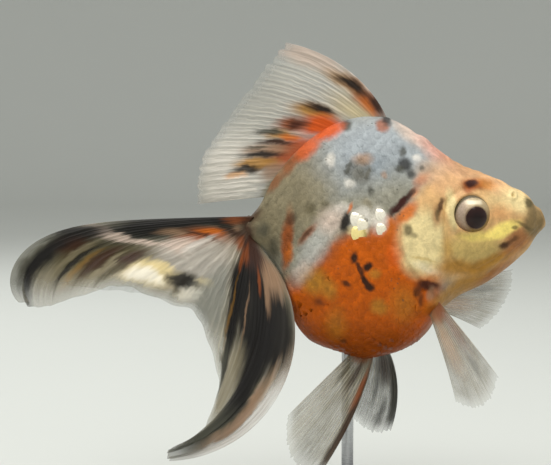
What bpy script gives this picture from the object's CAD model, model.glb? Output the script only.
"""A calico fancy goldfish with a high back and a double tail, life size, as a still model on a display stand.

The fish's form is one egg-shaped body given by smooth lines along its length, and fins that are fans of rays.
One skin covers the flesh. Scales lie over it behind the gills. Fins are thin ribbed sheets that let light
through. Skin and scales take their colours from one list of markings, laid out in space on the body, and each
fin takes its own from a list laid out along and across its rays. Tables are in millimetres unless they say
otherwise, and meshes are made in metres, with +X to the snout, +Y to the fish's left and +Z up.
"""

import logging
import math
from dataclasses import dataclass, field, replace
from enum import Enum
from typing import Sequence

import bpy
import numpy as np
from mathutils import Matrix, Vector

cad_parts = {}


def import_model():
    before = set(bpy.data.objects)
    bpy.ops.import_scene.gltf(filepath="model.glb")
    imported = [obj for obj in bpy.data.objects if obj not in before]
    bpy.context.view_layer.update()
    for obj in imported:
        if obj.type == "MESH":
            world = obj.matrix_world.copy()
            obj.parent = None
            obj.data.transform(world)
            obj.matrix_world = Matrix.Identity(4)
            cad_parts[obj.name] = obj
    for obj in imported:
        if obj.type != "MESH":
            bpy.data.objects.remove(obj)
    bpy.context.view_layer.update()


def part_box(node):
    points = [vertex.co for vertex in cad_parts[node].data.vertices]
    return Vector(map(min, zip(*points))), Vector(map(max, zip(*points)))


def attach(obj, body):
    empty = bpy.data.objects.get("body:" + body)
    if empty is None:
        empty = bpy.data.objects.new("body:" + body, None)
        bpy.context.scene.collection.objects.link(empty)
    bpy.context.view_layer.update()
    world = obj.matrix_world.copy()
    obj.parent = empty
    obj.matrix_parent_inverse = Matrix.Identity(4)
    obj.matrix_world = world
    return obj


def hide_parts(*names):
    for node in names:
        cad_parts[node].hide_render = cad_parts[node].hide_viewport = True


LOG = logging.getLogger("goldfish")
MM = 0.001
BODY = "root"
BAKE_MAP = "OFBake"
FIN_MAP = "FinMap"

Array = np.ndarray
Knots = Sequence[tuple[float, float]]
Socket = bpy.types.NodeSocket
Colour = tuple[float, float, float, float]
Inputs = dict[str | int, object]
# A soft mound in the side view: its height, its centre, its size along and across its length, and its turn.
Mound = tuple[float, tuple[float, float], tuple[float, float], float]


# ---- small maths ------------------------------------------------------------------------------------------


def smooth(knots: Knots, x: Array | float) -> Array:
    """A smooth curve through (x, value) pairs that doesn't overshoot them.

    Args:
        knots: The pairs, in rising order of x.
        x: Where the curve is wanted; places past the ends take the end's value.

    Returns:
        The curve's values at x.
    """
    xs, ys = np.array(knots, float).T
    x = np.clip(np.asarray(x, float), xs[0], xs[-1])
    slope = np.diff(ys) / np.diff(xs)
    tangent = np.concatenate([slope[:1], np.zeros(len(xs) - 2), slope[-1:]])
    product = slope[:-1] * slope[1:]
    total = slope[:-1] + slope[1:]
    same_way = product > 0
    tangent[1:-1][same_way] = 2 * product[same_way] / total[same_way]
    i = np.clip(np.searchsorted(xs, x) - 1, 0, len(xs) - 2)
    width = xs[i + 1] - xs[i]
    t = (x - xs[i]) / width
    u = 1 - t
    rise = ys[i] * (1 + 2 * t) * u * u + ys[i + 1] * t * t * (3 - 2 * t)
    return rise + width * t * u * (tangent[i] * u - tangent[i + 1] * t)


def along(values: Sequence[float], t: Array) -> Array:
    """The values at shares t, from 0 to 1, along numbers spaced evenly, on a Catmull-Rom curve."""
    last = len(values) - 1
    if last == 0:
        return np.full_like(t, values[0], dtype=float)
    ends = [2 * values[0] - values[1], *values, 2 * values[-1] - values[-2]]
    at = np.array(ends, float)
    i = np.minimum(np.floor(t * last).astype(int), last - 1)
    f = t * last - i
    a, b, c, d = at[i], at[i + 1], at[i + 2], at[i + 3]
    return b + 0.5 * f * (c - a + f * (2 * a - 5 * b + 4 * c - d + f * (3 * (b - c) + d - a)))


def ease(low: float, high: float, x: Array) -> Array:
    """A smooth step from 0 at low to 1 at high."""
    t = np.clip((x - low) / (high - low), 0, 1)
    return t * t * (3 - 2 * t)


def bump(x: Array, z: Array, mound: Mound) -> Array:
    """The height of a mound at places x, z of the side view."""
    height, at, size, turn = mound
    c, s = math.cos(math.radians(turn)), math.sin(math.radians(turn))
    dx, dz = x - at[0], z - at[1]
    return height * np.exp(-(((dx * c + dz * s) / size[0]) ** 2) - ((dz * c - dx * s) / size[1]) ** 2)


def ridge(distance: Array, height: float, middle: float, width: float) -> Array:
    """A soft ridge, or a groove where height is below 0, over the distances near the middle one."""
    return height * np.exp(-(((distance - middle) / width) ** 2))


def line_distance(points: Array, line: Array, closed: bool = False) -> Array:
    """How far flat points lie from a line of straight parts.

    Args:
        points: The points, as rows of two numbers.
        line: The line's corners, as rows of two numbers.
        closed: Whether the last corner joins the first.

    Returns:
        The distances, one for each point.
    """
    ends = np.roll(line, -1, axis=0) if closed else line[1:]
    starts = line if closed else line[:-1]
    nearest = np.full(len(points), np.inf)
    for start, end in zip(starts, ends):
        part = end - start
        share = np.clip(((points - start) @ part) / max(part @ part, 1e-12), 0, 1)
        gap = points - start - share[:, None] * part
        nearest = np.minimum(nearest, np.hypot(gap[:, 0], gap[:, 1]))
    return nearest


def inside(points: Array, ring: Array) -> Array:
    """Whether flat points lie inside a closed ring of corners."""
    result = np.zeros(len(points), bool)
    for start, end in zip(ring, np.roll(ring, -1, axis=0)):
        spans = (start[1] > points[:, 1]) != (end[1] > points[:, 1])
        drop = end[1] - start[1] or 1e-12
        crossing = start[0] + (points[:, 1] - start[1]) * (end[0] - start[0]) / drop
        result ^= spans & (points[:, 0] < crossing)
    return result


def closed_curve(corners: Sequence[tuple[float, float]], parts: int) -> Array:
    """Points along a smooth closed curve through corners, parts of them between each two."""
    at = np.array(corners, float)
    before, after, beyond = (np.roll(at, shift, axis=0) for shift in (1, -1, -2))
    rows = []
    for f in np.arange(parts) / parts:
        turn = 3 * (at - after) + beyond - before
        bend = 2 * before - 5 * at + 4 * after - beyond
        rows.append(at + 0.5 * f * (after - before + f * (bend + f * turn)))
    return np.stack(rows, axis=1).reshape(-1, 2)


def open_curve(corners: Sequence[tuple[float, float]], parts: int) -> Array:
    """Points along a smooth open curve through corners, parts of them between each two."""
    at = np.array(corners, float)
    share = np.linspace(0, 1, (len(at) - 1) * parts + 1)
    return np.stack([along(at[:, 0], share), along(at[:, 1], share)], 1)


def unit(vectors: Array) -> Array:
    """Vectors, in the last axis, made one long."""
    return vectors / np.maximum(np.linalg.norm(vectors, axis=-1, keepdims=True), 1e-12)


# ---- meshes -----------------------------------------------------------------------------------------------


@dataclass
class Sheet:
    """Faces and their map corners, gathered from grids of vertices."""

    points: list[Array] = field(default_factory=list)
    faces: list[Array] = field(default_factory=list)
    corners: list[Array] = field(default_factory=list)
    count: int = 0

    def add_points(self, points: Array) -> Array:
        """Adds points of any grid shape and gives back their numbers in that shape."""
        flat = points.reshape(-1, 3)
        self.points.append(flat)
        numbers = np.arange(self.count, self.count + len(flat)).reshape(points.shape[:-1])
        self.count += len(flat)
        return numbers

    def add_quads(self, numbers: Array, uv: Array, flip: bool = False) -> None:
        """Adds the quads of a grid of vertex numbers, with a map place for each grid point."""
        faces = np.stack([numbers[:-1, :-1], numbers[1:, :-1], numbers[1:, 1:], numbers[:-1, 1:]], -1)
        places = np.stack([uv[:-1, :-1], uv[1:, :-1], uv[1:, 1:], uv[:-1, 1:]], -2)
        faces, places = faces.reshape(-1, 4), places.reshape(-1, 4, 2)
        if flip:
            faces, places = faces[:, ::-1], places[:, ::-1]
        self.faces.append(faces)
        self.corners.append(places)

    def add_fan(self, ring: Array, centre: Array, uv: Array, middle: Array, flip: bool = False) -> None:
        """Closes a ring of vertex numbers with triangles to a new centre point."""
        hub = self.add_points(centre[None])[0]
        after = np.roll(ring, -1)
        uv_after = np.roll(uv, -1, axis=0)
        faces = np.stack([ring, after, np.full_like(ring, hub)], -1)
        places = np.stack([uv, uv_after, np.broadcast_to(middle, uv.shape)], -2)
        if flip:
            faces, places = faces[:, ::-1], places[:, ::-1]
        self.faces.append(faces)
        self.corners.append(places)

    def add_tube(self, rings: Array, uv: Array, ends: Array) -> None:
        """Adds a closed skin round rows of rings.

        Args:
            rings: The rings' points, a row for each ring.
            uv: The map's places, with one more in each row than the ring has points.
            ends: The points in the middle of the first and the last ring.
        """
        numbers = self.add_points(rings)
        self.add_quads(np.concatenate([numbers, numbers[:, :1]], axis=1), uv, flip=True)
        for row, centre, flip in ((0, ends[0], True), (-1, ends[1], False)):
            self.add_fan(numbers[row], centre, uv[row, :-1], uv[row, 0], flip)

    def mesh(self, name: str, uv_name: str) -> bpy.types.Mesh:
        """The mesh of everything added, from millimetres to metres.

        Args:
            name: The new mesh's name.
            uv_name: The name of its map.

        Returns:
            The mesh, shaded smoothly.
        """
        mesh = bpy.data.meshes.new(name)
        points = np.concatenate(self.points) * MM
        faces = [face.tolist() for block in self.faces for face in block]
        mesh.from_pydata(points.tolist(), [], faces)
        layer = mesh.uv_layers.new(name=uv_name)
        places = np.concatenate([block.reshape(-1, 2) for block in self.corners])
        layer.data.foreach_set("uv", places.astype(np.float32).ravel())
        mesh.polygons.foreach_set("use_smooth", [True] * len(mesh.polygons))
        mesh.update()
        return mesh


def place(mesh: bpy.types.Mesh, material: bpy.types.Material | None = None) -> bpy.types.Object:
    """A mesh as an object of the scene, with its material."""
    piece = bpy.data.objects.new(mesh.name, mesh)
    bpy.context.scene.collection.objects.link(piece)
    if material is not None:
        mesh.materials.clear()
        mesh.materials.append(material)
    return piece


def triangles(piece: bpy.types.Object) -> int:
    """How many triangles a mesh piece has."""
    return sum(len(face.vertices) - 2 for face in piece.data.polygons)


def stacked(rings: Array, name: str, foot: float, top: float) -> bpy.types.Mesh:
    """A closed solid about Z.

    Args:
        rings: The points of its rings, in millimetres, from the foot up.
        name: The mesh's name.
        foot: The height of the middle of the foot.
        top: The height of the middle of the top.

    Returns:
        The mesh, in metres.
    """
    across, up = np.meshgrid(np.linspace(0, 1, rings.shape[1] + 1), np.linspace(0, 1, len(rings)))
    sheet = Sheet()
    sheet.add_tube(rings, np.stack([across, up], -1), np.array([(0.0, 0.0, foot), (0.0, 0.0, top)]))
    return sheet.mesh(name, "TurnedMap")


def lathe(profile: Sequence[tuple[float, float]], around: int, name: str) -> bpy.types.Mesh:
    """A closed solid turned about Z from (radius, height) pairs, which start and end on the axis.

    Args:
        profile: The pairs, from the foot up; the first and last have radius 0.
        around: How many parts go round.
        name: The mesh's name.

    Returns:
        The mesh, in metres.
    """
    angle = np.linspace(0, 2 * np.pi, around + 1)[:-1]
    rings = np.array([[(r * np.cos(a), r * np.sin(a), h) for a in angle] for r, h in profile[1:-1]])
    return stacked(rings, name, profile[0][1], profile[-1][1])


# ---- colours and shader graphs ----------------------------------------------------------------------------


def tone(red: int, green: int, blue: int) -> Colour:
    """A screen colour, each part from 0 to 255, as the linear colour that shaders take."""
    parts = [c / 255 for c in (red, green, blue)]
    return (*(c / 12.92 if c <= 0.04045 else ((c + 0.055) / 1.055) ** 2.4 for c in parts), 1.0)


class Paint(Enum):
    """The fish's pigments."""

    FLANK = tone(142, 136, 113)
    SLATE = tone(154, 161, 164)
    STEEL = tone(126, 135, 140)
    OLIVE = tone(132, 122, 95)
    DARK_OLIVE = tone(76, 68, 42)
    HEAD = tone(208, 166, 112)
    CREAM = tone(228, 208, 152)
    CHEEK = tone(198, 170, 104)
    PEARL = tone(240, 234, 216)
    PINK = tone(212, 142, 112)
    BLUSH = tone(204, 184, 168)
    PEACH = tone(220, 172, 126)
    YELLOW = tone(250, 226, 124)
    GOLD = tone(174, 124, 42)
    ORANGE = tone(204, 106, 26)
    BELLY = tone(190, 88, 2)
    DEEP = tone(136, 62, 4)
    RUST = tone(144, 74, 30)
    RED = tone(212, 86, 10)
    MAROON = tone(58, 27, 20)
    UMBER = tone(56, 30, 14)
    BLACK = tone(20, 18, 16)
    SMOKE = tone(68, 68, 58)
    GREY = tone(142, 142, 132)
    PALE = tone(192, 184, 166)
    WHITE = tone(222, 216, 204)
    LIP = tone(128, 108, 72)
    CROWN = tone(194, 150, 108)
    ROSE = tone(204, 158, 142)
    CLAY = tone(156, 124, 96)
    MIST = tone(182, 182, 174)


class Graph:
    """Adds nodes to one shader or geometry tree and links them."""

    def __init__(self, tree: bpy.types.NodeTree) -> None:
        """Keeps the tree that nodes go into."""
        self.tree = tree

    def add(self, kind: str, inputs: Inputs | None = None, **settings: object) -> bpy.types.Node:
        """Adds one node.

        Args:
            kind: The node's type.
            inputs: For an input's name or number, the socket to link to it or the constant to put there.
            **settings: The node's own properties.

        Returns:
            The node.
        """
        node = self.tree.nodes.new(kind)
        for key, value in settings.items():
            setattr(node, key, value)
        for key, value in (inputs or {}).items():
            self.put(node.inputs[key], value)
        return node

    def put(self, target: Socket, value: object) -> None:
        """Links a socket to an input, or sets the input to a constant."""
        if isinstance(value, bpy.types.NodeSocket):
            self.tree.links.new(value, target)
        else:
            target.default_value = value

    def math(self, operation: str, *values: object, clamp: bool = False) -> Socket:
        """The result of a Math node."""
        node = self.add("ShaderNodeMath", dict(enumerate(values)), operation=operation, use_clamp=clamp)
        return node.outputs[0]

    def vector(self, operation: str, *values: object) -> Socket:
        """The result of a Vector Math node: a vector, or a number for a length or dot product."""
        keys = (0, "Scale") if operation == "SCALE" else range(len(values))
        node = self.add("ShaderNodeVectorMath", dict(zip(keys, values)), operation=operation)
        return node.outputs["Value" if operation in ("LENGTH", "DOT_PRODUCT") else 0]

    def times(self, first: object, second: object, clamp: bool = False) -> Socket:
        """The product of two numbers, kept within 0 and 1 if clamped."""
        return self.math("MULTIPLY", first, second, clamp=clamp)

    def plus(self, first: object, second: object) -> Socket:
        """The sum of two numbers."""
        return self.math("ADD", first, second)

    def less(self, first: object, second: object, clamp: bool = False) -> Socket:
        """The first number less the second, kept within 0 and 1 if clamped."""
        return self.math("SUBTRACT", first, second, clamp=clamp)

    def scaled(self, vector: object, factor: object) -> Socket:
        """A vector times a number."""
        return self.vector("SCALE", vector, factor)

    def metres(self) -> Socket:
        """The place in space, in metres."""
        return self.add("ShaderNodeTexCoord").outputs["Object"]

    def parts(self, vector: Socket) -> Sequence[Socket]:
        """A vector's three numbers."""
        return self.add("ShaderNodeSeparateXYZ", {0: vector}).outputs

    def step(self, value: Socket, low: float, high: float, start: float = 0.0, end: float = 1.0) -> Socket:
        """A smooth step of a value: start up to low, end from high."""
        inputs = {"Value": value, "From Min": low, "From Max": high, "To Min": start, "To Max": end}
        node = self.add("ShaderNodeMapRange", inputs, interpolation_type="SMOOTHSTEP", clamp=True)
        return node.outputs["Result"]

    def mix(self, share: object, first: object, second: object) -> Socket:
        """Two colours mixed by share."""
        return self.add("ShaderNodeMix", {0: share, 6: first, 7: second}, data_type="RGBA").outputs[2]

    def blend(self, share: object, first: object, second: object) -> Socket:
        """Two numbers mixed by share."""
        return self.add("ShaderNodeMix", {0: share, 2: first, 3: second}, data_type="FLOAT").outputs[0]

    def noise(
        self, vector: object, scale: float, detail: float = 2.0, rough: float = 0.5, warp: float = 0.0
    ) -> Socket:
        """A noise value from about 0 to 1."""
        inputs = {"Vector": vector, "Scale": scale, "Detail": detail, "Roughness": rough, "Distortion": warp}
        return self.add("ShaderNodeTexNoise", inputs).outputs[0]

    def scattered(self, vector: object, scale: float, amount: float) -> Socket:
        """A vector shifted by noise, up to about half of amount each way."""
        cloud = self.add("ShaderNodeTexNoise", {"Vector": vector, "Scale": scale, "Detail": 2.0}).outputs[1]
        centred = self.vector("SUBTRACT", cloud, (0.5, 0.5, 0.5))
        return self.vector("ADD", vector, self.vector("SCALE", centred, amount))


def group(name: str, inputs: dict[str, str], outputs: dict[str, str]) -> tuple[Graph, Socket, bpy.types.Node]:
    """Starts a shader group.

    Args:
        name: The group's name.
        inputs: The kind of each input socket, by name.
        outputs: The kind of each output socket, by name.

    Returns:
        Its graph, its input node's sockets and its output node.
    """
    tree = bpy.data.node_groups.new(name, "ShaderNodeTree")
    for label, kind in inputs.items():
        tree.interface.new_socket(name=label, in_out="INPUT", socket_type=kind)
    for label, kind in outputs.items():
        tree.interface.new_socket(name=label, in_out="OUTPUT", socket_type=kind)
    graph = Graph(tree)
    source = graph.add("NodeGroupInput")
    result = graph.add("NodeGroupOutput")
    return graph, source.outputs, result


@dataclass(frozen=True)
class Blotch:
    """One soft-edged patch of pigment, an ellipsoid in the space that its painter works in.

    Turn is how far its length is turned up from the first axis, in degrees. Edge is the share of its reach
    over which it fades on each side of its outline, strength how much it hides what lies under it, and cover
    how opaque a fin is there.
    """

    at: tuple[float, float, float]
    size: tuple[float, float, float]
    paint: Paint
    turn: float = 0.0
    edge: float = 0.4
    strength: float = 1.0
    cover: float = 0.95


@dataclass(frozen=True)
class Painter:
    """A shader group that lays blotches over a ground colour, one after another."""

    name: str
    blotches: Sequence[Blotch]
    sweep: float
    wander: float
    covers: bool = False

    def build(self) -> bpy.types.NodeTree:
        """Makes the group, with inputs Vector, Ground and Cover and outputs Color and Cover."""
        graph, source, result = group(
            self.name,
            {"Vector": "NodeSocketVector", "Ground": "NodeSocketColor", "Cover": "NodeSocketFloat"},
            {"Color": "NodeSocketColor", "Cover": "NodeSocketFloat"},
        )
        broad = graph.scattered(source["Vector"], self.sweep, self.wander)
        spot = graph.scattered(broad, self.sweep * 4.2, self.wander * 0.45)
        colour = source["Ground"]
        cover = source["Cover"]
        for number, blotch in enumerate(self.blotches):
            if number % 10 == 9:
                # The next places wait for the colour so far, so that a long list fits in a shader's memory.
                spot = graph.vector("MULTIPLY_ADD", colour, (1e-9, 1e-9, 1e-9), spot)
            share = self.share(graph, spot, blotch)
            colour = graph.mix(share, colour, blotch.paint.value)
            if self.covers:
                cover = graph.blend(share, cover, blotch.cover)
        graph.put(result.inputs["Color"], colour)
        graph.put(result.inputs["Cover"], cover)
        return graph.tree

    @staticmethod
    def share(graph: Graph, vector: Socket, blotch: Blotch) -> Socket:
        """How much of a blotch shows at a place, from 0 to its strength."""
        inputs = {
            "Vector": vector,
            "Location": blotch.at,
            "Rotation": (0.0, -math.radians(blotch.turn), 0.0),
            "Scale": blotch.size,
        }
        local = graph.add("ShaderNodeMapping", inputs, vector_type="TEXTURE").outputs[0]
        reach = graph.vector("LENGTH", local)
        return graph.step(reach, 1 + blotch.edge, 1 - blotch.edge, 0.0, blotch.strength)


@dataclass(frozen=True)
class Finish:
    """What every material has: a Principled shader and its constants."""

    name: str
    roughness: float = 0.5
    specular: float = 0.5
    coat: float = 0.0
    coat_roughness: float = 0.1
    ior: float = 1.45

    def start(self) -> tuple[bpy.types.Material, Graph, bpy.types.Node]:
        """Makes the material with its constants set.

        Returns:
            The material, its graph and its Principled node.
        """
        material = bpy.data.materials.new(self.name)
        material.use_nodes = True
        graph = Graph(material.node_tree)
        shader = material.node_tree.nodes["Principled BSDF"]
        shader.inputs["Roughness"].default_value = self.roughness
        shader.inputs["Specular IOR Level"].default_value = self.specular
        shader.inputs["Coat Weight"].default_value = self.coat
        shader.inputs["Coat Roughness"].default_value = self.coat_roughness
        shader.inputs["IOR"].default_value = self.ior
        return material, graph, shader

    @staticmethod
    def bump(graph: Graph, shader: bpy.types.Node, height: Socket, distance: float) -> None:
        """Roughens the shader's surface by a height, in metres times distance."""
        node = graph.add("ShaderNodeBump", {"Height": height, "Distance": distance, "Strength": 1.0})
        graph.put(shader.inputs["Normal"], node.outputs[0])


# ---- the body's form --------------------------------------------------------------------------------------


@dataclass(frozen=True)
class BodyForm:
    """The fish without fins: smooth lines along x that give each section's height, width and roundness."""

    back: Knots = (
        (-27.5, 74.2), (-25.5, 76.6), (-23, 80.9), (-20, 85.4), (-16, 89.9), (-11, 94.2), (-5, 97.4),
        (1.5, 98.7), (7, 98.5), (11.5, 96.6), (15.5, 93.8), (20, 90.1), (25, 86.8), (30, 84.9), (35, 82.8),
        (41, 79.6), (45.6, 77.2),
    )
    belly: Knots = (
        (-27.5, 67.2), (-24.5, 65.4), (-22, 61.6), (-20, 56.6), (-18, 50.8), (-15.5, 45.6), (-12, 42.2),
        (-6, 40.1), (1, 39), (7.5, 39.5), (13, 41.6), (17, 45), (20.3, 50.4), (24.5, 54), (31, 57.1),
        (36.5, 60.9), (41, 64.9), (45.6, 69.4),
    )
    half_width: Knots = (
        (-27.5, 2.7), (-24, 4.4), (-20, 7.8), (-15, 12.2), (-8, 16.2), (0, 18.2), (7, 18.4), (13, 17.2),
        (20, 14.8), (27, 12.4), (33, 10.6), (38, 8.6), (41, 7.2), (45.6, 5.6),
    )
    girth: Knots = (
        (-27.5, 71), (-22, 69.5), (-14, 63), (-5, 59.5), (6, 59), (14, 62), (22, 67), (30, 70.5), (38, 72.2),
        (45.6, 73.3),
    )
    back_round: Knots = ((-27.5, 2), (-15, 1.75), (2, 1.7), (12, 1.8), (22, 2.15), (45.6, 2.1))
    belly_round: Knots = ((-27.5, 2), (-15, 2.1), (0, 2.3), (15, 2.3), (24, 2), (45.6, 2))
    gill_line: Knots = (
        (20, 27), (50, 23.2), (58, 16), (63, 12), (69, 10), (75, 10.8), (81, 13.6), (90, 15.2), (110, 18),
    )
    tail_x: float = -27.5
    snout_x: float = 45.6
    snout_round_x: float = 41.0

    def section(self, x: Array) -> tuple[Array, Array, Array, Array]:
        """The sections at x.

        Args:
            x: Places along the body.

        Returns:
            The widest level, the heights over and under it, and the half width there.
        """
        top, bottom = smooth(self.back, x), smooth(self.belly, x)
        level = smooth(self.girth, x)
        nose = np.clip((x - self.snout_round_x) / (self.snout_x - self.snout_round_x), 0, 1)
        shrink = np.sqrt(1 - nose * nose)
        return level, (top - level) * shrink, (level - bottom) * shrink, smooth(self.half_width, x) * shrink

    def point(self, x: Array, turn: Array) -> Array:
        """Points of the surface; turn goes round from the left side over the back, in radians."""
        level, over, under, half = self.section(x)
        c, s = np.cos(turn), np.sin(turn)
        up = s >= 0
        power = 2 / np.where(up, smooth(self.back_round, x), smooth(self.belly_round, x))
        y = half * np.sign(c) * np.abs(c) ** power
        z = level + np.where(up, over, under) * np.sign(s) * np.abs(s) ** power
        return np.stack(np.broadcast_arrays(x, y, z), -1)

    def frame(self, x: Array, turn: Array) -> tuple[Array, Array, Array]:
        """Points of the surface, their outward normals, and the direction back along the body.

        Args:
            x: Places along the body.
            turn: Angles round it.

        Returns:
            Points, normals and backward directions.
        """
        step_x, step_turn = 0.05, 0.002
        here = self.point(x, turn)
        back = unit(self.point(x - step_x, turn) - self.point(x + step_x, turn))
        around = unit(self.point(x, turn + step_turn) - self.point(x, turn - step_turn))
        normal = unit(np.cross(back, around))
        middle = np.stack(np.broadcast_arrays(x, np.zeros_like(here[..., 1]), self.section(x)[0]), -1)
        outward = np.sign(np.sum(normal * (here - middle), -1, keepdims=True))
        return here, normal * outward, back

    def side_y(self, x: float, z: float) -> float:
        """How far the surface stands from the mid plane at x and height z."""
        level, over, under, half = (float(v) for v in self.section(np.array(x)))
        up = z >= level
        share = min(1.0, abs(z - level) / (over if up else under))
        power = float(smooth(self.back_round if up else self.belly_round, x))
        return half * (1 - share**power) ** (1 / power)

    def turn_at(self, x: Array, z: Array) -> Array:
        """The angle on the left side at height z of the section at x."""
        level, over, under, _ = self.section(x)
        up = z >= level
        share = np.clip((z - level) / np.where(up, over, under), -1, 1)
        power = np.where(up, smooth(self.back_round, x), smooth(self.belly_round, x)) / 2
        return np.arcsin(np.sign(share) * np.abs(share) ** power)


FORM = BodyForm()


# ---- markings ---------------------------------------------------------------------------------------------

RIGHT, LEFT = -1, 1
SIDE_DEPTH, THROUGH_DEPTH, FIN_DEPTH = 7.0, 400.0, 9.0


def marks(side: int, *rows: tuple) -> tuple[Blotch, ...]:
    """Patches on one side of the body, or right through it where side is 0.

    Args:
        side: RIGHT, LEFT or 0.
        *rows: For each patch, its centre's x and height, its reach along and across its own length, then its
            pigment and the rest of a Blotch up to its strength.

    Returns:
        The blotches, in millimetres.
    """
    depth = SIDE_DEPTH if side else THROUGH_DEPTH
    return tuple(
        Blotch((x, side * FORM.side_y(x, z), z), (reach, depth, width), *look)
        for x, z, reach, width, *look in rows
    )


GROUND_MARKS = marks(
    0,
    (3, 90, 15, 10, Paint.SLATE, -6, 0.6),
    (7, 79, 9, 6, Paint.FLANK, 20, 0.7, 0.6),
    (-20, 78, 12, 14, Paint.OLIVE, 0, 0.6, 0.9),
    (-25, 72, 5, 6, Paint.OLIVE, 0, 0.5),
    (31, 72, 17, 16, Paint.HEAD, -32, 0.18),
    (14, 66, 7, 9, Paint.HEAD, 0, 0.3),
    (17.4, 79, 5.4, 3.6, Paint.HEAD, 40, 0.4),
    (1, 53, 18, 16, Paint.BELLY, 8, 0.2),
    (8, 64, 8, 8, Paint.BELLY, 0, 0.4, 0.9),
    (-1, 66.6, 8.4, 4, Paint.RUST, 10, 0.7, 0.8),
    (-13, 51, 8, 9, Paint.BELLY, -35, 0.4),
    (-1, 66, 6.6, 4.6, Paint.BELLY, 0, 0.4, 0.95),
    (6, 70, 3.6, 4, Paint.BELLY, 0, 0.6, 0.8),
    (0, 40.6, 22, 6.4, Paint.DEEP, 0, 0.8, 0.85),
    (13.4, 95, 6, 2.6, Paint.BLUSH, -38, 0.6, 0.9),
    (20, 90, 7, 2.8, Paint.ROSE, -40, 0.6, 0.95),
    (22, 88.6, 4, 1.5, Paint.PINK, -34, 0.8, 0.5),
    (20, 83.6, 6, 3.4, Paint.PEACH, -25, 0.6, 0.7),
    (27.6, 86, 7, 2.6, Paint.CROWN, -16, 0.6, 0.9),
    (34.4, 81.4, 5, 2.2, Paint.PEACH, -20, 0.6, 0.7),
    (38.6, 78.4, 4, 2.4, Paint.CREAM, -30, 0.6, 0.9),
    (25, 56.5, 9, 3, Paint.GOLD, 26, 0.5, 0.9),
    (34, 60.5, 6, 2, Paint.RUST, 32, 0.6, 0.6),
)

FACE_MARKS = marks(
    0,
    (14.2, 68.5, 6, 7.8, Paint.CREAM, -8, 0.32),
    (27, 66.6, 7.4, 3.6, Paint.CHEEK, 0, 0.5),
    (24.5, 62.2, 5, 1.7, Paint.GOLD, -6, 0.6, 0.85),
    (31.5, 63.4, 5.4, 1.5, Paint.GOLD, 22, 0.6, 0.9),
    (38.4, 68.4, 4.6, 2.6, Paint.RUST, 40, 0.6, 0.7),
    (34, 77, 4.4, 3, Paint.CREAM, 0, 0.6, 0.55),
    (33.6, 75.4, 3.2, 1.7, Paint.ORANGE, -6, 0.9, 0.42),
    (34.6, 71.2, 4.4, 1.7, Paint.YELLOW, 22, 0.5),
    (28, 70, 4.4, 1.1, Paint.YELLOW, 2, 0.7, 0.7),
    (21.6, 76.4, 1.3, 4.6, Paint.CREAM, 4, 0.5),
    (42.8, 73, 2.8, 4.4, Paint.LIP, 0, 0.4, 0.95),
    (41.4, 77.4, 1.2, 1.4, Paint.DARK_OLIVE, 30, 0.5, 0.9),
    (40, 72.4, 2.4, 0.5, Paint.DARK_OLIVE, -28, 0.6, 0.6),
)

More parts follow.
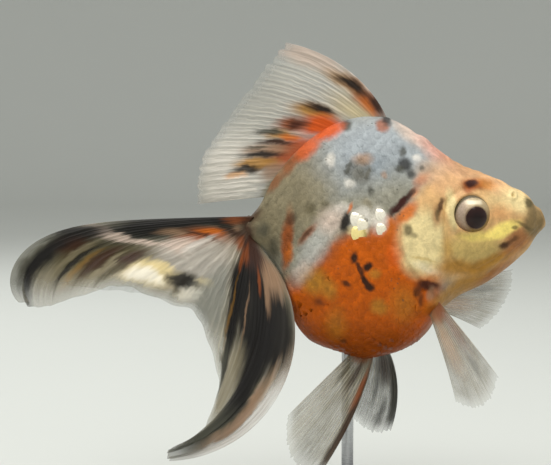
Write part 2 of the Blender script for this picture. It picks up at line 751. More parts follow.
RIGHT_MARKS = marks(
    RIGHT,
    # The head.
    (27.2, 82.1, 2.9, 1.5, Paint.RUST, -4, 0.5, 0.9),
    (30.6, 82.2, 2.4, 1.2, Paint.ORANGE, -14, 0.7, 0.5),
    (30.8, 82.1, 2.2, 1.1, Paint.GOLD, -14, 0.8, 0.4),
    (26, 81.4, 1.4, 1.2, Paint.RUST, 30, 0.7, 0.8),
    (26.8, 82.4, 1.5, 0.9, Paint.MAROON, 6, 0.5),
    (17.9, 74.6, 1.1, 2.6, Paint.RUST, -8, 0.7, 0.55),
    (19, 77.4, 0.7, 1.7, Paint.UMBER, -16, 0.5, 0.85),
    (18.1, 75.4, 0.6, 1.6, Paint.DARK_OLIVE, 0, 0.6, 0.7),
    (20.4, 66.4, 1.2, 6.6, Paint.GOLD, 4, 0.9, 0.45),
    (37.6, 71.6, 0.8, 0.6, Paint.DARK_OLIVE, 0, 0.5, 0.7),
    (35, 67.3, 1.6, 0.8, Paint.UMBER, 14, 0.6, 0.9),
    (37.4, 68.6, 1.4, 0.6, Paint.UMBER, 24, 0.7, 0.6),
    (10.7, 71.6, 1.1, 1.3, Paint.DARK_OLIVE, 10, 0.6, 0.75),
    (12.2, 70.4, 0.8, 0.7, Paint.DARK_OLIVE, 0, 0.7, 0.5),
    (15, 62.6, 3, 0.8, Paint.PEARL, -20, 0.9, 0.3),
    (14.6, 64.6, 3, 0.35, Paint.CHEEK, -14, 0.6, 0.6),
    (14.2, 83.4, 2, 1.2, Paint.ORANGE, 38, 0.8, 0.45),
    (12.6, 80.4, 1.6, 0.8, Paint.ORANGE, 40, 0.8, 0.5),
    # The shoulder and back.
    (10.4, 75.6, 3.4, 1.5, Paint.ORANGE, 44, 0.6, 0.9),
    (5.8, 72.8, 1.8, 2.2, Paint.ORANGE, 20, 0.6, 0.85),
    (9.2, 77.9, 4.4, 0.9, Paint.MAROON, 42, 0.5),
    (11.6, 80.2, 1.6, 0.6, Paint.UMBER, 36, 0.6, 0.8),
    (9.9, 90.4, 0.9, 1.2, Paint.SMOKE, 10, 0.6, 0.8),
    (10.3, 87.2, 1.5, 1.7, Paint.BLACK, 10, 0.5, 0.85),
    (8.9, 86.2, 1.1, 0.9, Paint.SMOKE, 10, 0.6, 0.85),
    (11.8, 84.9, 1.2, 0.9, Paint.BLACK, -30, 0.6, 0.75),
    (14.4, 86.3, 0.7, 0.6, Paint.SMOKE, 0, 0.6, 0.7),
    (5.2, 84.9, 0.7, 0.8, Paint.CLAY, 0, 0.6, 0.9),
    (1.8, 81.2, 0.7, 1.3, Paint.SMOKE, 10, 0.6, 0.75),
    (2.8, 87, 3.4, 2.6, Paint.STEEL, 0, 0.8, 0.7),
    (0.2, 88.4, 2.1, 1.2, Paint.CLAY, 8, 0.8, 0.85),
    (-0.8, 85.2, 2.8, 2.4, Paint.DARK_OLIVE, 0, 0.8, 0.72),
    (-3.3, 86.2, 1.8, 0.6, Paint.SMOKE, 58, 0.6, 0.85),
    (1.4, 85.4, 0.5, 1.6, Paint.DARK_OLIVE, -20, 0.7, 0.5),
    (-7.6, 88.2, 1.1, 1.5, Paint.WHITE, 0, 0.6, 0.7),
    (-3.1, 82.6, 1.3, 1.1, Paint.WHITE, 0, 0.6, 0.6),
    (13.4, 88.8, 1, 0.8, Paint.WHITE, 0, 0.7, 0.6),
    (1.2, 77.8, 1.0, 1.6, Paint.OLIVE, 20, 0.6, 0.6),
    # The pale band over the rear flank.
    (-5.4, 76.6, 2.6, 1.3, Paint.WHITE, 24, 0.6, 0.7),
    (-12.2, 66.4, 9, 2.6, Paint.MIST, 60, 0.7, 0.85),
    (-7.6, 73.8, 3.4, 2.6, Paint.BLUSH, 40, 0.8, 0.85),
    (-14.6, 61, 2.6, 1.4, Paint.BLUSH, 70, 0.8, 0.7),
    # Round the shining scales.
    (-0.6, 74.2, 2.6, 2.8, Paint.WHITE, 0, 0.6, 0.85),
    (-1.2, 71.2, 2.4, 1.3, Paint.CREAM, -8, 0.6, 0.8),
    (4, 74.2, 1.7, 2.9, Paint.WHITE, 0, 0.6, 0.85),
    (-4.1, 73.6, 1.2, 2.6, Paint.BLACK, -8, 0.5, 0.95),
    (-3.1, 77, 0.5, 1.2, Paint.ORANGE, -20, 0.7, 0.8),
    # The rear flank.
    (-18.3, 68.4, 6.6, 1.3, Paint.RUST, 86, 0.6, 0.95),
    (-17.8, 65, 2.6, 0.9, Paint.ORANGE, 80, 0.8, 0.7),
    (-17.4, 73.8, 1.5, 1.0, Paint.UMBER, 30, 0.7, 0.6),
    (-13.2, 70.3, 3, 0.9, Paint.RUST, 50, 0.6, 0.65),
    (-13.4, 70.2, 2.2, 0.5, Paint.UMBER, 50, 0.6, 0.7),
    (-12.4, 76.6, 1.4, 1.3, Paint.DARK_OLIVE, -6, 0.8, 0.6),
    (-9, 78, 1, 0.8, Paint.DARK_OLIVE, 0, 0.8, 0.4),
    (-21.6, 66.6, 1.2, 2.4, Paint.SMOKE, 0, 0.8, 0.7),
    (-24.2, 70.6, 1.6, 1.6, Paint.SMOKE, 0, 0.8, 0.7),
    # The belly.
    (-11.6, 58.8, 3, 3, Paint.GOLD, 20, 0.7, 0.85),
    (-8, 57, 1.6, 2.2, Paint.GOLD, 0, 0.7, 0.7),
    (3.8, 53.2, 2.2, 1.8, Paint.GOLD, -20, 0.6, 0.7),
    (10, 53.4, 3, 4, Paint.GOLD, 10, 0.8, 0.45),
    (2.8, 61.2, 1.3, 1.0, Paint.GOLD, 0, 0.7, 0.6),
    (-6.4, 48.4, 2.2, 4, Paint.GOLD, 0, 0.8, 0.45),
    (7.6, 65.6, 1.8, 3, Paint.RED, 0, 0.8, 0.6),
    (-2.2, 64.8, 1.4, 1.0, Paint.UMBER, 80, 0.5),
    (-0.7, 62.2, 1.9, 0.6, Paint.UMBER, -56, 0.5, 0.9),
    (1.2, 62.8, 1.2, 0.8, Paint.UMBER, 40, 0.5),
    (0.6, 59.6, 1.6, 0.7, Paint.UMBER, -60, 0.5),
    (1.6, 58.2, 1.2, 1.0, Paint.UMBER, -40, 0.5),
    (-4.2, 58.8, 1.2, 0.7, Paint.UMBER, -16, 0.6, 0.85),
    (-10.8, 53.8, 1.2, 1.0, Paint.UMBER, 0, 0.8, 0.6),
    (-4.6, 43.9, 0.8, 0.6, Paint.UMBER, 0, 0.6, 0.6),
    # The base of the pectoral fin.
    (15.6, 58.2, 3, 1.2, Paint.MAROON, -8, 0.5, 0.9),
    (13, 56.8, 1, 1.3, Paint.UMBER, 0, 0.6, 0.8),
    (14.2, 54.6, 0.7, 1.5, Paint.UMBER, 0, 0.6, 0.7),
    (16.4, 56, 1.1, 1.6, Paint.CLAY, 0, 0.6, 0.7),
    (17.2, 51.6, 1.4, 2, Paint.DEEP, 0, 0.6, 0.6),
)

LEFT_MARKS = marks(
    LEFT,
    (26.2, 83, 4.2, 2, Paint.RED, -12, 0.5, 0.8),
    (30, 82.4, 1.7, 1.0, Paint.MAROON, -20, 0.35),
    (18.6, 76, 1.1, 2.4, Paint.RUST, -10, 0.5, 0.8),
    (12.2, 66.5, 1.4, 1.2, Paint.DARK_OLIVE, 20, 0.4, 0.85),
    (36, 68.2, 1.2, 0.8, Paint.UMBER, 30, 0.4, 0.9),
    (24, 62.9, 3.4, 0.8, Paint.ORANGE, -25, 0.5, 0.85),
    (30.6, 63.2, 3.6, 0.8, Paint.ORANGE, 24, 0.5, 0.85),
    (15.4, 61.4, 3.6, 0.7, Paint.PEARL, -17, 0.5, 0.9),
    (7.6, 80.6, 4.4, 2, Paint.BLACK, 28, 0.35, 0.95),
    (3.4, 77.6, 3.2, 1.6, Paint.RUST, 40, 0.5, 0.8),
    (11.6, 87.6, 1.3, 0.9, Paint.BLACK, 20, 0.35, 0.95),
    (-3.6, 90.4, 2.8, 1.6, Paint.RUST, -20, 0.5, 0.8),
    (-6, 88.2, 1.6, 0.8, Paint.BLACK, -30, 0.35, 0.9),
    (-9, 78.6, 2.6, 1.2, Paint.BLACK, -48, 0.35, 0.9),
    (-5.4, 72.6, 3, 2.2, Paint.PALE, 10, 0.5, 0.8),
    (1.4, 73.8, 0.9, 1.1, Paint.SMOKE, 0, 0.4, 0.9),
    (-16.4, 72, 4.6, 1.5, Paint.RUST, 66, 0.5, 0.85),
    (-15.2, 74.6, 1.4, 0.8, Paint.UMBER, 60, 0.4, 0.85),
    (-10.8, 64, 3.4, 3.8, Paint.PALE, 10, 0.5, 0.7),
    (-22.6, 77, 2, 1.2, Paint.BLACK, 30, 0.4, 0.8),
    (3.4, 63.4, 2.6, 1.1, Paint.UMBER, 35, 0.35),
    (-3.6, 60.8, 1.1, 1.4, Paint.UMBER, 0, 0.35),
    (5.8, 54.4, 1.9, 1.0, Paint.UMBER, -30, 0.4, 0.9),
    (-5.6, 52, 3, 2, Paint.GOLD, 10, 0.5, 0.7),
    (-11.4, 54.6, 1.0, 1.6, Paint.UMBER, 0, 0.4, 0.9),
    (15.4, 58.3, 3.4, 1.2, Paint.MAROON, -10, 0.35, 0.9),
)

RIDGE_MARKS = marks(
    0,
    (5.2, 96.6, 1.6, 1.6, Paint.RUST, -20, 0.5, 0.8),
    (6.4, 98, 1.2, 1.1, Paint.BLACK, -20, 0.5, 0.85),
    (-3.6, 96.6, 1.4, 1.3, Paint.SMOKE, 10, 0.5, 0.85),
    (-8, 95.2, 4, 1.7, Paint.RED, 22, 0.5, 0.9),
    (-13.6, 90.8, 3.8, 2, Paint.RED, 42, 0.5, 0.8),
    (-17.4, 86.8, 3, 1.4, Paint.RUST, 48, 0.6, 0.7),
    (-21.4, 82.4, 2.6, 1.1, Paint.RUST, 56, 0.7, 0.6),
    (-26.6, 74.4, 2.4, 1.6, Paint.UMBER, 20, 0.6, 0.8),
    (-28.6, 70, 2.2, 3, Paint.MAROON, 0, 0.6, 0.85),
)


class Calico:
    """The pigments of the skin and scales, as one shader group on places in space."""

    def __init__(self) -> None:
        """Builds the group."""
        all_marks = GROUND_MARKS + FACE_MARKS + RIGHT_MARKS + LEFT_MARKS + RIDGE_MARKS
        painted = Painter("CalicoMarks", all_marks, sweep=0.2, wander=1.7).build()
        graph, _, result = group("Calico", {}, {"Color": "NodeSocketColor", "Grain": "NodeSocketFloat"})
        place_mm = graph.scaled(graph.metres(), 1 / MM)
        cloud = graph.noise(place_mm, 0.11, 4.0, 0.6)
        ground = graph.mix(graph.step(cloud, 0.35, 0.65), Paint.FLANK.value, Paint.GREY.value)
        marked = graph.add("ShaderNodeGroup", {"Vector": place_mm, "Ground": ground}, node_tree=painted)
        grain = graph.noise(place_mm, 1.6, 3.0, 0.6)
        mottle = graph.step(graph.noise(place_mm, 0.4, 4.0, 0.65, 0.6), 0.3, 0.72, 0.84, 1.14)
        fine = graph.step(grain, 0.25, 0.75, 0.94, 1.06)
        varied = graph.scaled(marked.outputs["Color"], graph.times(mottle, fine))
        graph.put(result.inputs["Color"], self.peppered(graph, place_mm, varied))
        graph.put(result.inputs["Grain"], grain)
        self.tree = graph.tree

    @staticmethod
    def peppered(graph: Graph, place_mm: Socket, colour: Socket) -> Socket:
        """Fine dark specks scattered over the colour, thicker in drifts."""
        cells = graph.add("ShaderNodeTexVoronoi", {"Vector": place_mm, "Scale": 0.62, "Randomness": 1.0})
        speck = graph.step(cells.outputs["Distance"], 0.2, 0.1)
        drift = graph.step(graph.noise(place_mm, 0.09, 2.0), 0.52, 0.66, 0.0, 0.6)
        behind_head = graph.step(graph.parts(place_mm)[0], 9.0, 13.0, 1.0, 0.0)
        share = graph.times(graph.times(speck, drift), behind_head)
        return graph.mix(share, colour, Paint.SMOKE.value)


# ---- skin -------------------------------------------------------------------------------------------------


@dataclass(frozen=True)
class SkinFinish(Finish):
    """Moist scaleless skin with fine wrinkles."""

    name: str = "fish_skin"
    roughness: float = 0.52
    specular: float = 0.2
    coat: float = 0.08
    coat_roughness: float = 0.22
    ior: float = 1.38

    def build(self, calico: Calico) -> bpy.types.Material:
        """The material of the skin."""
        material, graph, shader = self.start()
        paint = graph.add("ShaderNodeGroup", node_tree=calico.tree)
        graph.put(shader.inputs["Base Color"], paint.outputs["Color"])
        metres = graph.metres()
        pores = graph.noise(metres, 2600.0, 2.0, 0.6)
        folds = graph.noise(metres, 520.0, 3.0, 0.55, 0.8)
        rough = graph.step(folds, 0.3, 0.7, self.roughness + 0.1, self.roughness - 0.06)
        graph.put(shader.inputs["Roughness"], rough)
        self.bump(graph, shader, graph.plus(graph.times(pores, 0.25), folds), 0.00022)
        return material


@dataclass(frozen=True)
class HeadRelief:
    """How far the skin rises over the body's plain form, in millimetres, for each feature of the head."""

    gill_cover: Sequence[tuple[float, float]] = (
        (21.8, 53), (18.2, 55.2), (14.2, 59.2), (10.8, 63.4), (8.9, 68.6), (9.3, 74.2), (11.6, 79),
        (15.4, 81.2), (19.4, 79.4), (21, 74), (20.6, 68), (21, 62), (22.6, 57),
    )
    cheek_line: Sequence[tuple[float, float]] = (
        (20.8, 78.8), (19.9, 74.5), (20, 70.3), (21.5, 64.8), (24.4, 62.2), (28, 61.4), (32.6, 63.7),
        (37, 67),
    )
    jaw_line: Sequence[tuple[float, float]] = ((42.6, 70.2), (40.2, 67.8), (36.2, 64.6), (31.5, 60.2))
    cover_height: float = 0.5
    cover_groove: tuple[float, float, float] = (-0.2, -0.3, 0.32)
    cover_folds: Sequence[tuple[float, float, float]] = ((0.14, 1.5, 0.3), (0.1, 2.5, 0.3))
    cheek_groove: tuple[float, float, float] = (-0.34, 0.0, 0.5)
    jaw_groove: tuple[float, float, float] = (-0.26, 0.0, 0.45)
    eye: tuple[float, float] = (26.4, 75.2)
    eye_radius: float = 4.45
    eye_rim: Sequence[tuple[float, float, float]] = ((0.5, 0.35, 0.6), (-0.22, 1.9, 0.6))
    eye_hollow: float = 1.6
    nostril: tuple[float, float] = (37.4, 79.4)
    nostril_ring: Sequence[tuple[float, float, float]] = ((0.4, 0.75, 0.4), (-0.55, 0.0, 0.36))
    cheeks_and_brow: Sequence[Mound] = (
        (0.6, (27.4, 66.4), (5.6, 3.4), 0), (0.3, (34.6, 70), (3.4, 2.6), 0),
        (0.35, (27.5, 82.2), (5, 1.6), -12),
    )
    pectoral_base: Mound = (1.0, (17.4, 53), (3, 2.4), -30)
    crown_height: float = 0.09

    def offset(self, points: Array) -> Array:
        """The rise at each point of the plain form, in a flat list."""
        x, y, z = points.T
        flat = np.stack([x, z], 1)
        rise = self.cover_rise(flat, x)
        rise += ridge(line_distance(flat, open_curve(self.cheek_line, 10)), *self.cheek_groove)
        rise += ridge(line_distance(flat, open_curve(self.jaw_line, 8)), *self.jaw_groove)
        rise += self.eye_rise(x, z) + self.nostril_rise(x, y, z)
        rise += sum(bump(x, z, mound) for mound in self.cheeks_and_brow)
        waves = np.sin(1.3 * x + 0.7 * y) + np.sin(0.9 * y - 1.1 * x + 2) + np.sin(1.7 * y + 0.5 * z)
        crown = ease(82, 86, z + 0.25 * (x - 20)) * ease(10, 16, x)
        rise += self.crown_height * waves * crown
        return rise + bump(x, z, self.pectoral_base) * ease(8, 11, np.abs(y))

    def cover_rise(self, flat: Array, x: Array) -> Array:
        """The gill cover: a low plate with a sharp rear edge over a groove and a soft front edge."""
        rim = closed_curve(self.gill_cover, 12)
        depth = line_distance(flat, rim, closed=True)
        depth = np.where(inside(flat, rim), depth, -depth)
        z = flat[:, 1]
        front = np.maximum(ease(15, 20.5, x), ease(72, 78, z))
        sharp = self.cover_height * ease(-0.1, 0.36, depth) + ridge(depth, *self.cover_groove)
        gentle = self.cover_height * ease(-0.6, 3.2, depth)
        folds = sum(ridge(depth, *fold) for fold in self.cover_folds)
        return gentle * front + (sharp - folds * ease(70, 64, z)) * (1 - front)

    def eye_rise(self, x: Array, z: Array) -> Array:
        """A lip of skin round the eye, and a hollow under the eyeball."""
        out = np.hypot(x - self.eye[0], z - self.eye[1]) - self.eye_radius
        return sum(ridge(out, *rim) for rim in self.eye_rim) - self.eye_hollow * ease(-0.15, -0.75, out)

    def nostril_rise(self, x: Array, y: Array, z: Array) -> Array:
        """A short raised ring with a hole on each side of the snout, and none where the sides meet."""
        reach = np.hypot(x - self.nostril[0], z - self.nostril[1]) + 3 * (np.abs(y) < 2)
        return sum(ridge(reach, *ring) for ring in self.nostril_ring)


@dataclass
class Skin:
    """One closed skin over the whole body, from the tail's root to the inside of the mouth."""

    around: int = 264
    trunk_rows: int = 112
    head_rows: int = 196
    scale_depth: float = 0.3
    mouth: tuple[float, float, float] = (44.4, 0.0, 73.6)
    mouth_tilt: float = 14.0
    mouth_half: tuple[float, float] = (2.55, 1.62)
    lip: float = 1.28
    pelvic_base: Mound = (0.9, (1.6, 40.6), (4.6, 4), 0)
    anal_base: Mound = (0.5, (-19.2, 55), (2.4, 6), 70)
    dorsal_base: tuple[float, float, float] = (0.5, 0.0, 1.6)
    relief: HeadRelief = field(default_factory=HeadRelief)

    def rise(self, points: Array) -> Array:
        """How far the skin stands out from the plain form at each point, in a flat list."""
        x, y, z = points.T
        behind = smooth(FORM.gill_line, z) - x
        rise = -self.scale_depth * ease(0.6, 2.2, behind)
        rise += self.relief.offset(points) * ease(-4, 3, x - 1)
        rise += bump(x, z, self.pelvic_base) * ease(47, 43, z) * ease(1, 3, np.abs(y))
        rise += bump(x, z, self.anal_base) * ease(0.2, 1.4, np.abs(y))
        on_back = ease(2, 0.5, smooth(FORM.back, x) - z) * ease(8.4, 6, x) * ease(-25, -22, x)
        return rise + ridge(y, *self.dorsal_base) * on_back

    def rows(self) -> tuple[Array, Array]:
        """Every ring of the skin from tail to mouth, and its share along the skin.

        Returns:
            Ring points and shares.
        """
        turn = np.linspace(0, 2 * np.pi, self.around, endpoint=False)
        xs = np.concatenate([
            np.linspace(FORM.tail_x, 8, self.trunk_rows, endpoint=False),
            np.linspace(8, 42.2, self.head_rows),
        ])
        here, normal, _ = FORM.frame(xs[:, None], turn[None])
        body = here + normal * self.rise(here.reshape(-1, 3)).reshape(len(xs), -1, 1)
        rings = np.concatenate([self.tail_end(turn), body, self.lips(turn, body[-1])])
        steps = np.linalg.norm(np.diff(rings, axis=0), axis=2).mean(1)
        share = np.concatenate([[0], np.cumsum(steps)]) / steps.sum()
        return rings, share

    def tail_end(self, turn: Array) -> Array:
        """Rings that round the body off between the tail fins."""
        first = FORM.point(np.full_like(turn, FORM.tail_x), turn)
        middle = np.array([FORM.tail_x, 0, float(FORM.section(np.array(FORM.tail_x))[0])])
        rings = []
        for t in (0.97, 0.85, 0.65, 0.45, 0.25, 0.1):
            ring = middle + (first - middle) * np.array([0, math.sqrt(1 - t * t), math.sqrt(1 - t * t)])
            rings.append(ring + np.array([-2.2 * t, 0, 0]))
        return np.array(rings)

    def lips(self, turn: Array, last: Array) -> Array:
        """Rings from the snout over the lips and into the mouth."""
        tilt = math.radians(self.mouth_tilt)
        forward = np.array([math.cos(tilt), 0, math.sin(tilt)])
        upward = np.array([-math.sin(tilt), 0, math.cos(tilt)])
        sideways = np.array([0.0, 1.0, 0.0])
        c, s = np.cos(turn)[:, None], np.sin(turn)[:, None]
        centre = np.array(self.mouth) + self.mouth_half[0] * c * sideways + self.mouth_half[1] * s * upward
        out = unit(c * sideways * 0.8 + s * upward)
        size = self.lip * (1 - 0.12 * s)
        rings = []
        for t in np.linspace(0, 1, 20)[1:]:
            x = 42.2 + 3.0 * t
            face = FORM.point(np.full_like(turn, x), turn)
            angle = math.radians(-65 + 150 * t)
            tube = centre + size * (math.cos(angle) * out + math.sin(angle) * forward)
            weight = float(ease(0.0, 0.75, np.array(t)))
            carried = (last - FORM.point(last[:, 0], turn)) * (1 - t) ** 2
            rings.append(face * (1 - weight) + tube * weight + carried)
        for angle in np.radians(np.linspace(94, 205, 14)):
            rings.append(centre + size * (math.cos(angle) * out + math.sin(angle) * forward))
        gullet = np.array(self.mouth) - 3.2 * forward
        for t in (0.2, 0.45, 0.7, 0.9):
            rings.append(rings[-1] * (1 - t) + gullet * t)
        return np.array(rings)

    @staticmethod
    def map_place(across: Array, up: Array) -> Array:
        """The skin map's place for shares along the body and round it, inside the map's margins."""
        return np.stack([0.04 + 0.92 * across, 0.02 + 0.96 * up], -1)

    def unwrap(self, x: Array, turn: Array) -> Array:
        """The skin map's place for points at x and turn, as used by the scales over it."""
        span = (x - FORM.tail_x) / (FORM.snout_x - FORM.tail_x)
        return self.map_place(span, np.mod(turn / (2 * np.pi), 1.0))

    def build(self, material: bpy.types.Material) -> bpy.types.Object:
        """The skin as a piece that stands for every CAD node of flesh."""
        rings, share = self.rows()
        across, up = np.meshgrid(share, np.linspace(0, 1, self.around + 1), indexing="ij")
        sheet = Sheet()
        sheet.add_tube(rings, self.map_place(across, up), rings[[0, -1]].mean(1))
        piece = place(sheet.mesh("fish_skin", "SkinMap"), material)
        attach(piece, BODY)
        sides = [f"{part}_{side}" for part in ("gill_cover", "nostril") for side in ("right", "left")]
        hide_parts("head", "trunk", "tail_root", "lips", *sides)
        return piece


# ---- scales -----------------------------------------------------------------------------------------------


@dataclass(frozen=True)
class ScaleFinish(Finish):
    """Thin clear scales over pigment, with a few that shine like metal."""

    name: str = "fish_scale"
    roughness: float = 0.45
    specular: float = 0.2
    coat: float = 0.1
    coat_roughness: float = 0.2
    ior: float = 1.38

    def build(self, calico: Calico) -> bpy.types.Material:
        """The material of the scales."""
        material, graph, shader = self.start()
        paint = graph.add("ShaderNodeGroup", node_tree=calico.tree)
        shine = graph.add("ShaderNodeAttribute", attribute_name="shine").outputs["Fac"]
        tint = graph.add("ShaderNodeAttribute", attribute_name="tint").outputs["Fac"]
        local = graph.add("ShaderNodeAttribute", attribute_name="patch").outputs["Vector"]
        rim = graph.step(graph.parts(local)[0], 0.1, 0.26, 0.97, 1.06)
        level = graph.times(rim, graph.step(tint, 0.0, 1.0, 0.97, 1.03))
        toned = graph.scaled(paint.outputs["Color"], level)
        bright = graph.mix(tint, Paint.PEARL.value, Paint.YELLOW.value)
        graph.put(shader.inputs["Base Color"], graph.mix(shine, toned, bright))
        graph.put(shader.inputs["Metallic"], graph.times(shine, 0.3))
        rough = graph.step(paint.outputs["Grain"], 0.3, 0.7, self.roughness - 0.05, self.roughness + 0.07)
        graph.put(shader.inputs["Roughness"], graph.blend(shine, rough, 0.22))
        rings = graph.vector("LENGTH", graph.vector("ADD", local, (0.3, 0.0, 0.0)))
        ridges = graph.math("SINE", graph.times(rings, 60.0))
        height = graph.plus(graph.times(ridges, 0.12), paint.outputs["Grain"])
        self.bump(graph, shader, height, 0.00008)
        return material


@dataclass
class Scales:
    """Scales on one side of the body, in offset rows like roof tiles, each free at its rear edge."""

    side: int
    skin: Skin
    pitch: float = 2.9
    row: float = 1.8
    lift: float = 0.15
    front_sunk: float = 0.06
    rim_depth: float = 0.4
    front_x: float = 15.6
    rear_x: float = -26.4
    taper: Knots = ((-27, 0.56), (-20, 0.74), (-10, 0.94), (0, 1.0), (14, 0.92))
    lateral: Knots = ((-27.5, 71), (-15, 70), (0, 71), (12, 74))
    belly_margin: float = 1.6
    back_margin: float = 1.9
    gill_margin: float = 3.4
    ridge_margin: float = 1.7
    shining: Sequence[tuple[float, float, float, float]] = (
        (-0.2, 74.8, 0.0, 1.3), (1.4, 73.2, 0.1, 1.2), (4.0, 75.9, 0.0, 1.2), (4.4, 72.5, 0.1, 1.1),
        (-1.4, 71.4, 0.75, 1.25),
    )
    shining_left: Sequence[tuple[float, float, float, float]] = (
        (-5.4, 74.4, 0.0, 1.3), (-2.2, 72.6, 0.6, 1.2), (-6.2, 70.8, 0.0, 1.2),
    )
    seed: int = 7

    def columns(self) -> list[tuple[float, float]]:
        """Where each column of scales stands along the body, and its scales' size beside the largest."""
        found, x = [], self.front_x
        while x > self.rear_x:
            shrink = float(smooth(self.taper, x))
            found.append((x, shrink))
            x -= 0.5 * self.pitch * shrink
        return found

    def lattice(self) -> dict[str, Array]:
        """Where each scale sits: one in each second place of every column, in turns.

        Returns:
            Arrays by name: x, turn, shrink (size beside the largest) and stretch (how much longer on slopes).
        """
        found: dict[str, list[float]] = {"x": [], "turn": [], "shrink": [], "stretch": []}
        fine = np.linspace(-np.pi / 2, np.pi / 2, 721)
        for column, (x, shrink) in enumerate(self.columns()):
            ring = FORM.point(np.full_like(fine, x), fine)
            arc = np.concatenate([[0], np.cumsum(np.linalg.norm(np.diff(ring, axis=0), axis=1))])
            start = float(np.interp(float(FORM.turn_at(np.array(x), smooth(self.lateral, x))), fine, arc))
            step = self.row * shrink
            low = math.ceil((self.belly_margin - start) / step)
            high = math.floor((arc[-1] - self.back_margin - start) / step)
            for line in range(low, high + 1):
                turn = float(np.interp(start + line * step, arc, fine))
                z = float(FORM.point(np.array(x), np.array(turn))[2])
                if (line + column) % 2 or self.bare(x, z):
                    continue
                back = FORM.frame(np.array(x), np.array(turn))[2]
                for key, value in zip(found, (x, turn, shrink, 1 / max(0.6, abs(float(back[0]))))):
                    found[key].append(value)
        return {key: np.array(values) for key, values in found.items()}

    def bare(self, x: float, z: float) -> bool:
        """Whether a place has no scale: by the gill cover, on the back's ridge or under a fin's root."""
        gill_margin = self.gill_margin + 0.4 * float(ease(84, 88, z)) + 0.2 * float(ease(67, 65, z))
        ridge_margin = self.ridge_margin + 2.6 * float(ease(3, 12, x))
        at_gill = x > float(smooth(FORM.gill_line, z)) - gill_margin
        on_ridge = float(smooth(FORM.back, x)) - z < ridge_margin
        return at_gill or on_ridge or math.hypot((x - 17.4) / 2.6, (z - 52.8) / 2.6) < 1

    def points(self) -> bpy.types.Object:
        """A mesh of the scales' roots, with their turns, sizes and places on the skin's map."""
        found = self.lattice()
        turn = found["turn"] if self.side == LEFT else np.pi - found["turn"]
        here, normal, back = FORM.frame(found["x"], turn)
        x, _, z = here.T
        random = np.random.default_rng(self.seed + self.side)
        shine, tint = self.shine(here, random)
        sunk = self.sag(found["x"], turn) + 0.04 * ease(50, 42, z) + 0.06 * ease(-8, -12, x) * ease(57, 53, z)
        raised = np.where(shine > 0, 0.07, 0)
        here = here + normal * (self.skin.rise(here) - sunk + raised)[:, None]
        back = unit(back - normal * np.sum(back * normal, -1, keepdims=True))
        across = np.cross(normal, back)
        angles = [Matrix(np.stack(axes, 1).tolist()).to_euler() for axes in zip(back, across, normal)]
        shrink = found["shrink"]
        behind = smooth(FORM.gill_line, here[:, 2]) - here[:, 0]
        size = np.stack([shrink * found["stretch"], shrink, shrink * (0.3 + 0.7 * ease(0.5, 6, behind))], 1)
        size *= random.uniform(0.96, 1.04, (len(here), 1)) * np.maximum(1, shine)[:, None]
        mesh = bpy.data.meshes.new("scale_roots")
        mesh.from_pydata((here * MM).tolist(), [], [])
        facts = {
            "turn": np.array([tuple(angle) for angle in angles]),
            "size": size,
            "root_uv": np.pad(self.skin.unwrap(found["x"], turn), ((0, 0), (0, 1))),
            "shine": np.minimum(shine, 1),
            "tint": tint,
        }
        for name, values in facts.items():
            kind, key = ("FLOAT_VECTOR", "vector") if values.ndim == 2 else ("FLOAT", "value")
            layer = mesh.attributes.new(name, kind, "POINT")
            layer.data.foreach_set(key, values.astype(np.float32).ravel())
        return place(mesh)

    @staticmethod
    def sag(x: Array, turn: Array) -> Array:
        """How far a flat plate would stand off the body's curve at its sides, in millimetres."""
        sag = np.full(len(x), -0.12)
        for step_x, step_turn in ((0.0, 0.02), (0.4, 0.0)):
            before, after = FORM.frame(x - step_x, turn - step_turn), FORM.frame(x + step_x, turn + step_turn)
            bend = np.linalg.norm(after[1] - before[1], axis=1) / np.linalg.norm(after[0] - before[0], axis=1)
            sag += 1.2 * bend
        return np.clip(sag, 0, 0.3)

    def shine(self, here: Array, random: np.random.Generator) -> tuple[Array, Array]:
        """Picks the scales that shine like metal.

        Args:
            here: The scales' places.
            random: The source of each scale's tint.

        Returns:
            Each shining scale's growth, 0 for the others, and each scale's tint, which yellows a shining one.
        """
        shine, tint = np.zeros(len(here)), random.uniform(0, 1, len(here))
        for x, z, yellow, growth in self.shining if self.side == RIGHT else self.shining_left:
            nearest = int(np.argmin(np.hypot(here[:, 0] - x, here[:, 2] - z)))
            shine[nearest], tint[nearest] = growth, yellow
        return shine, tint

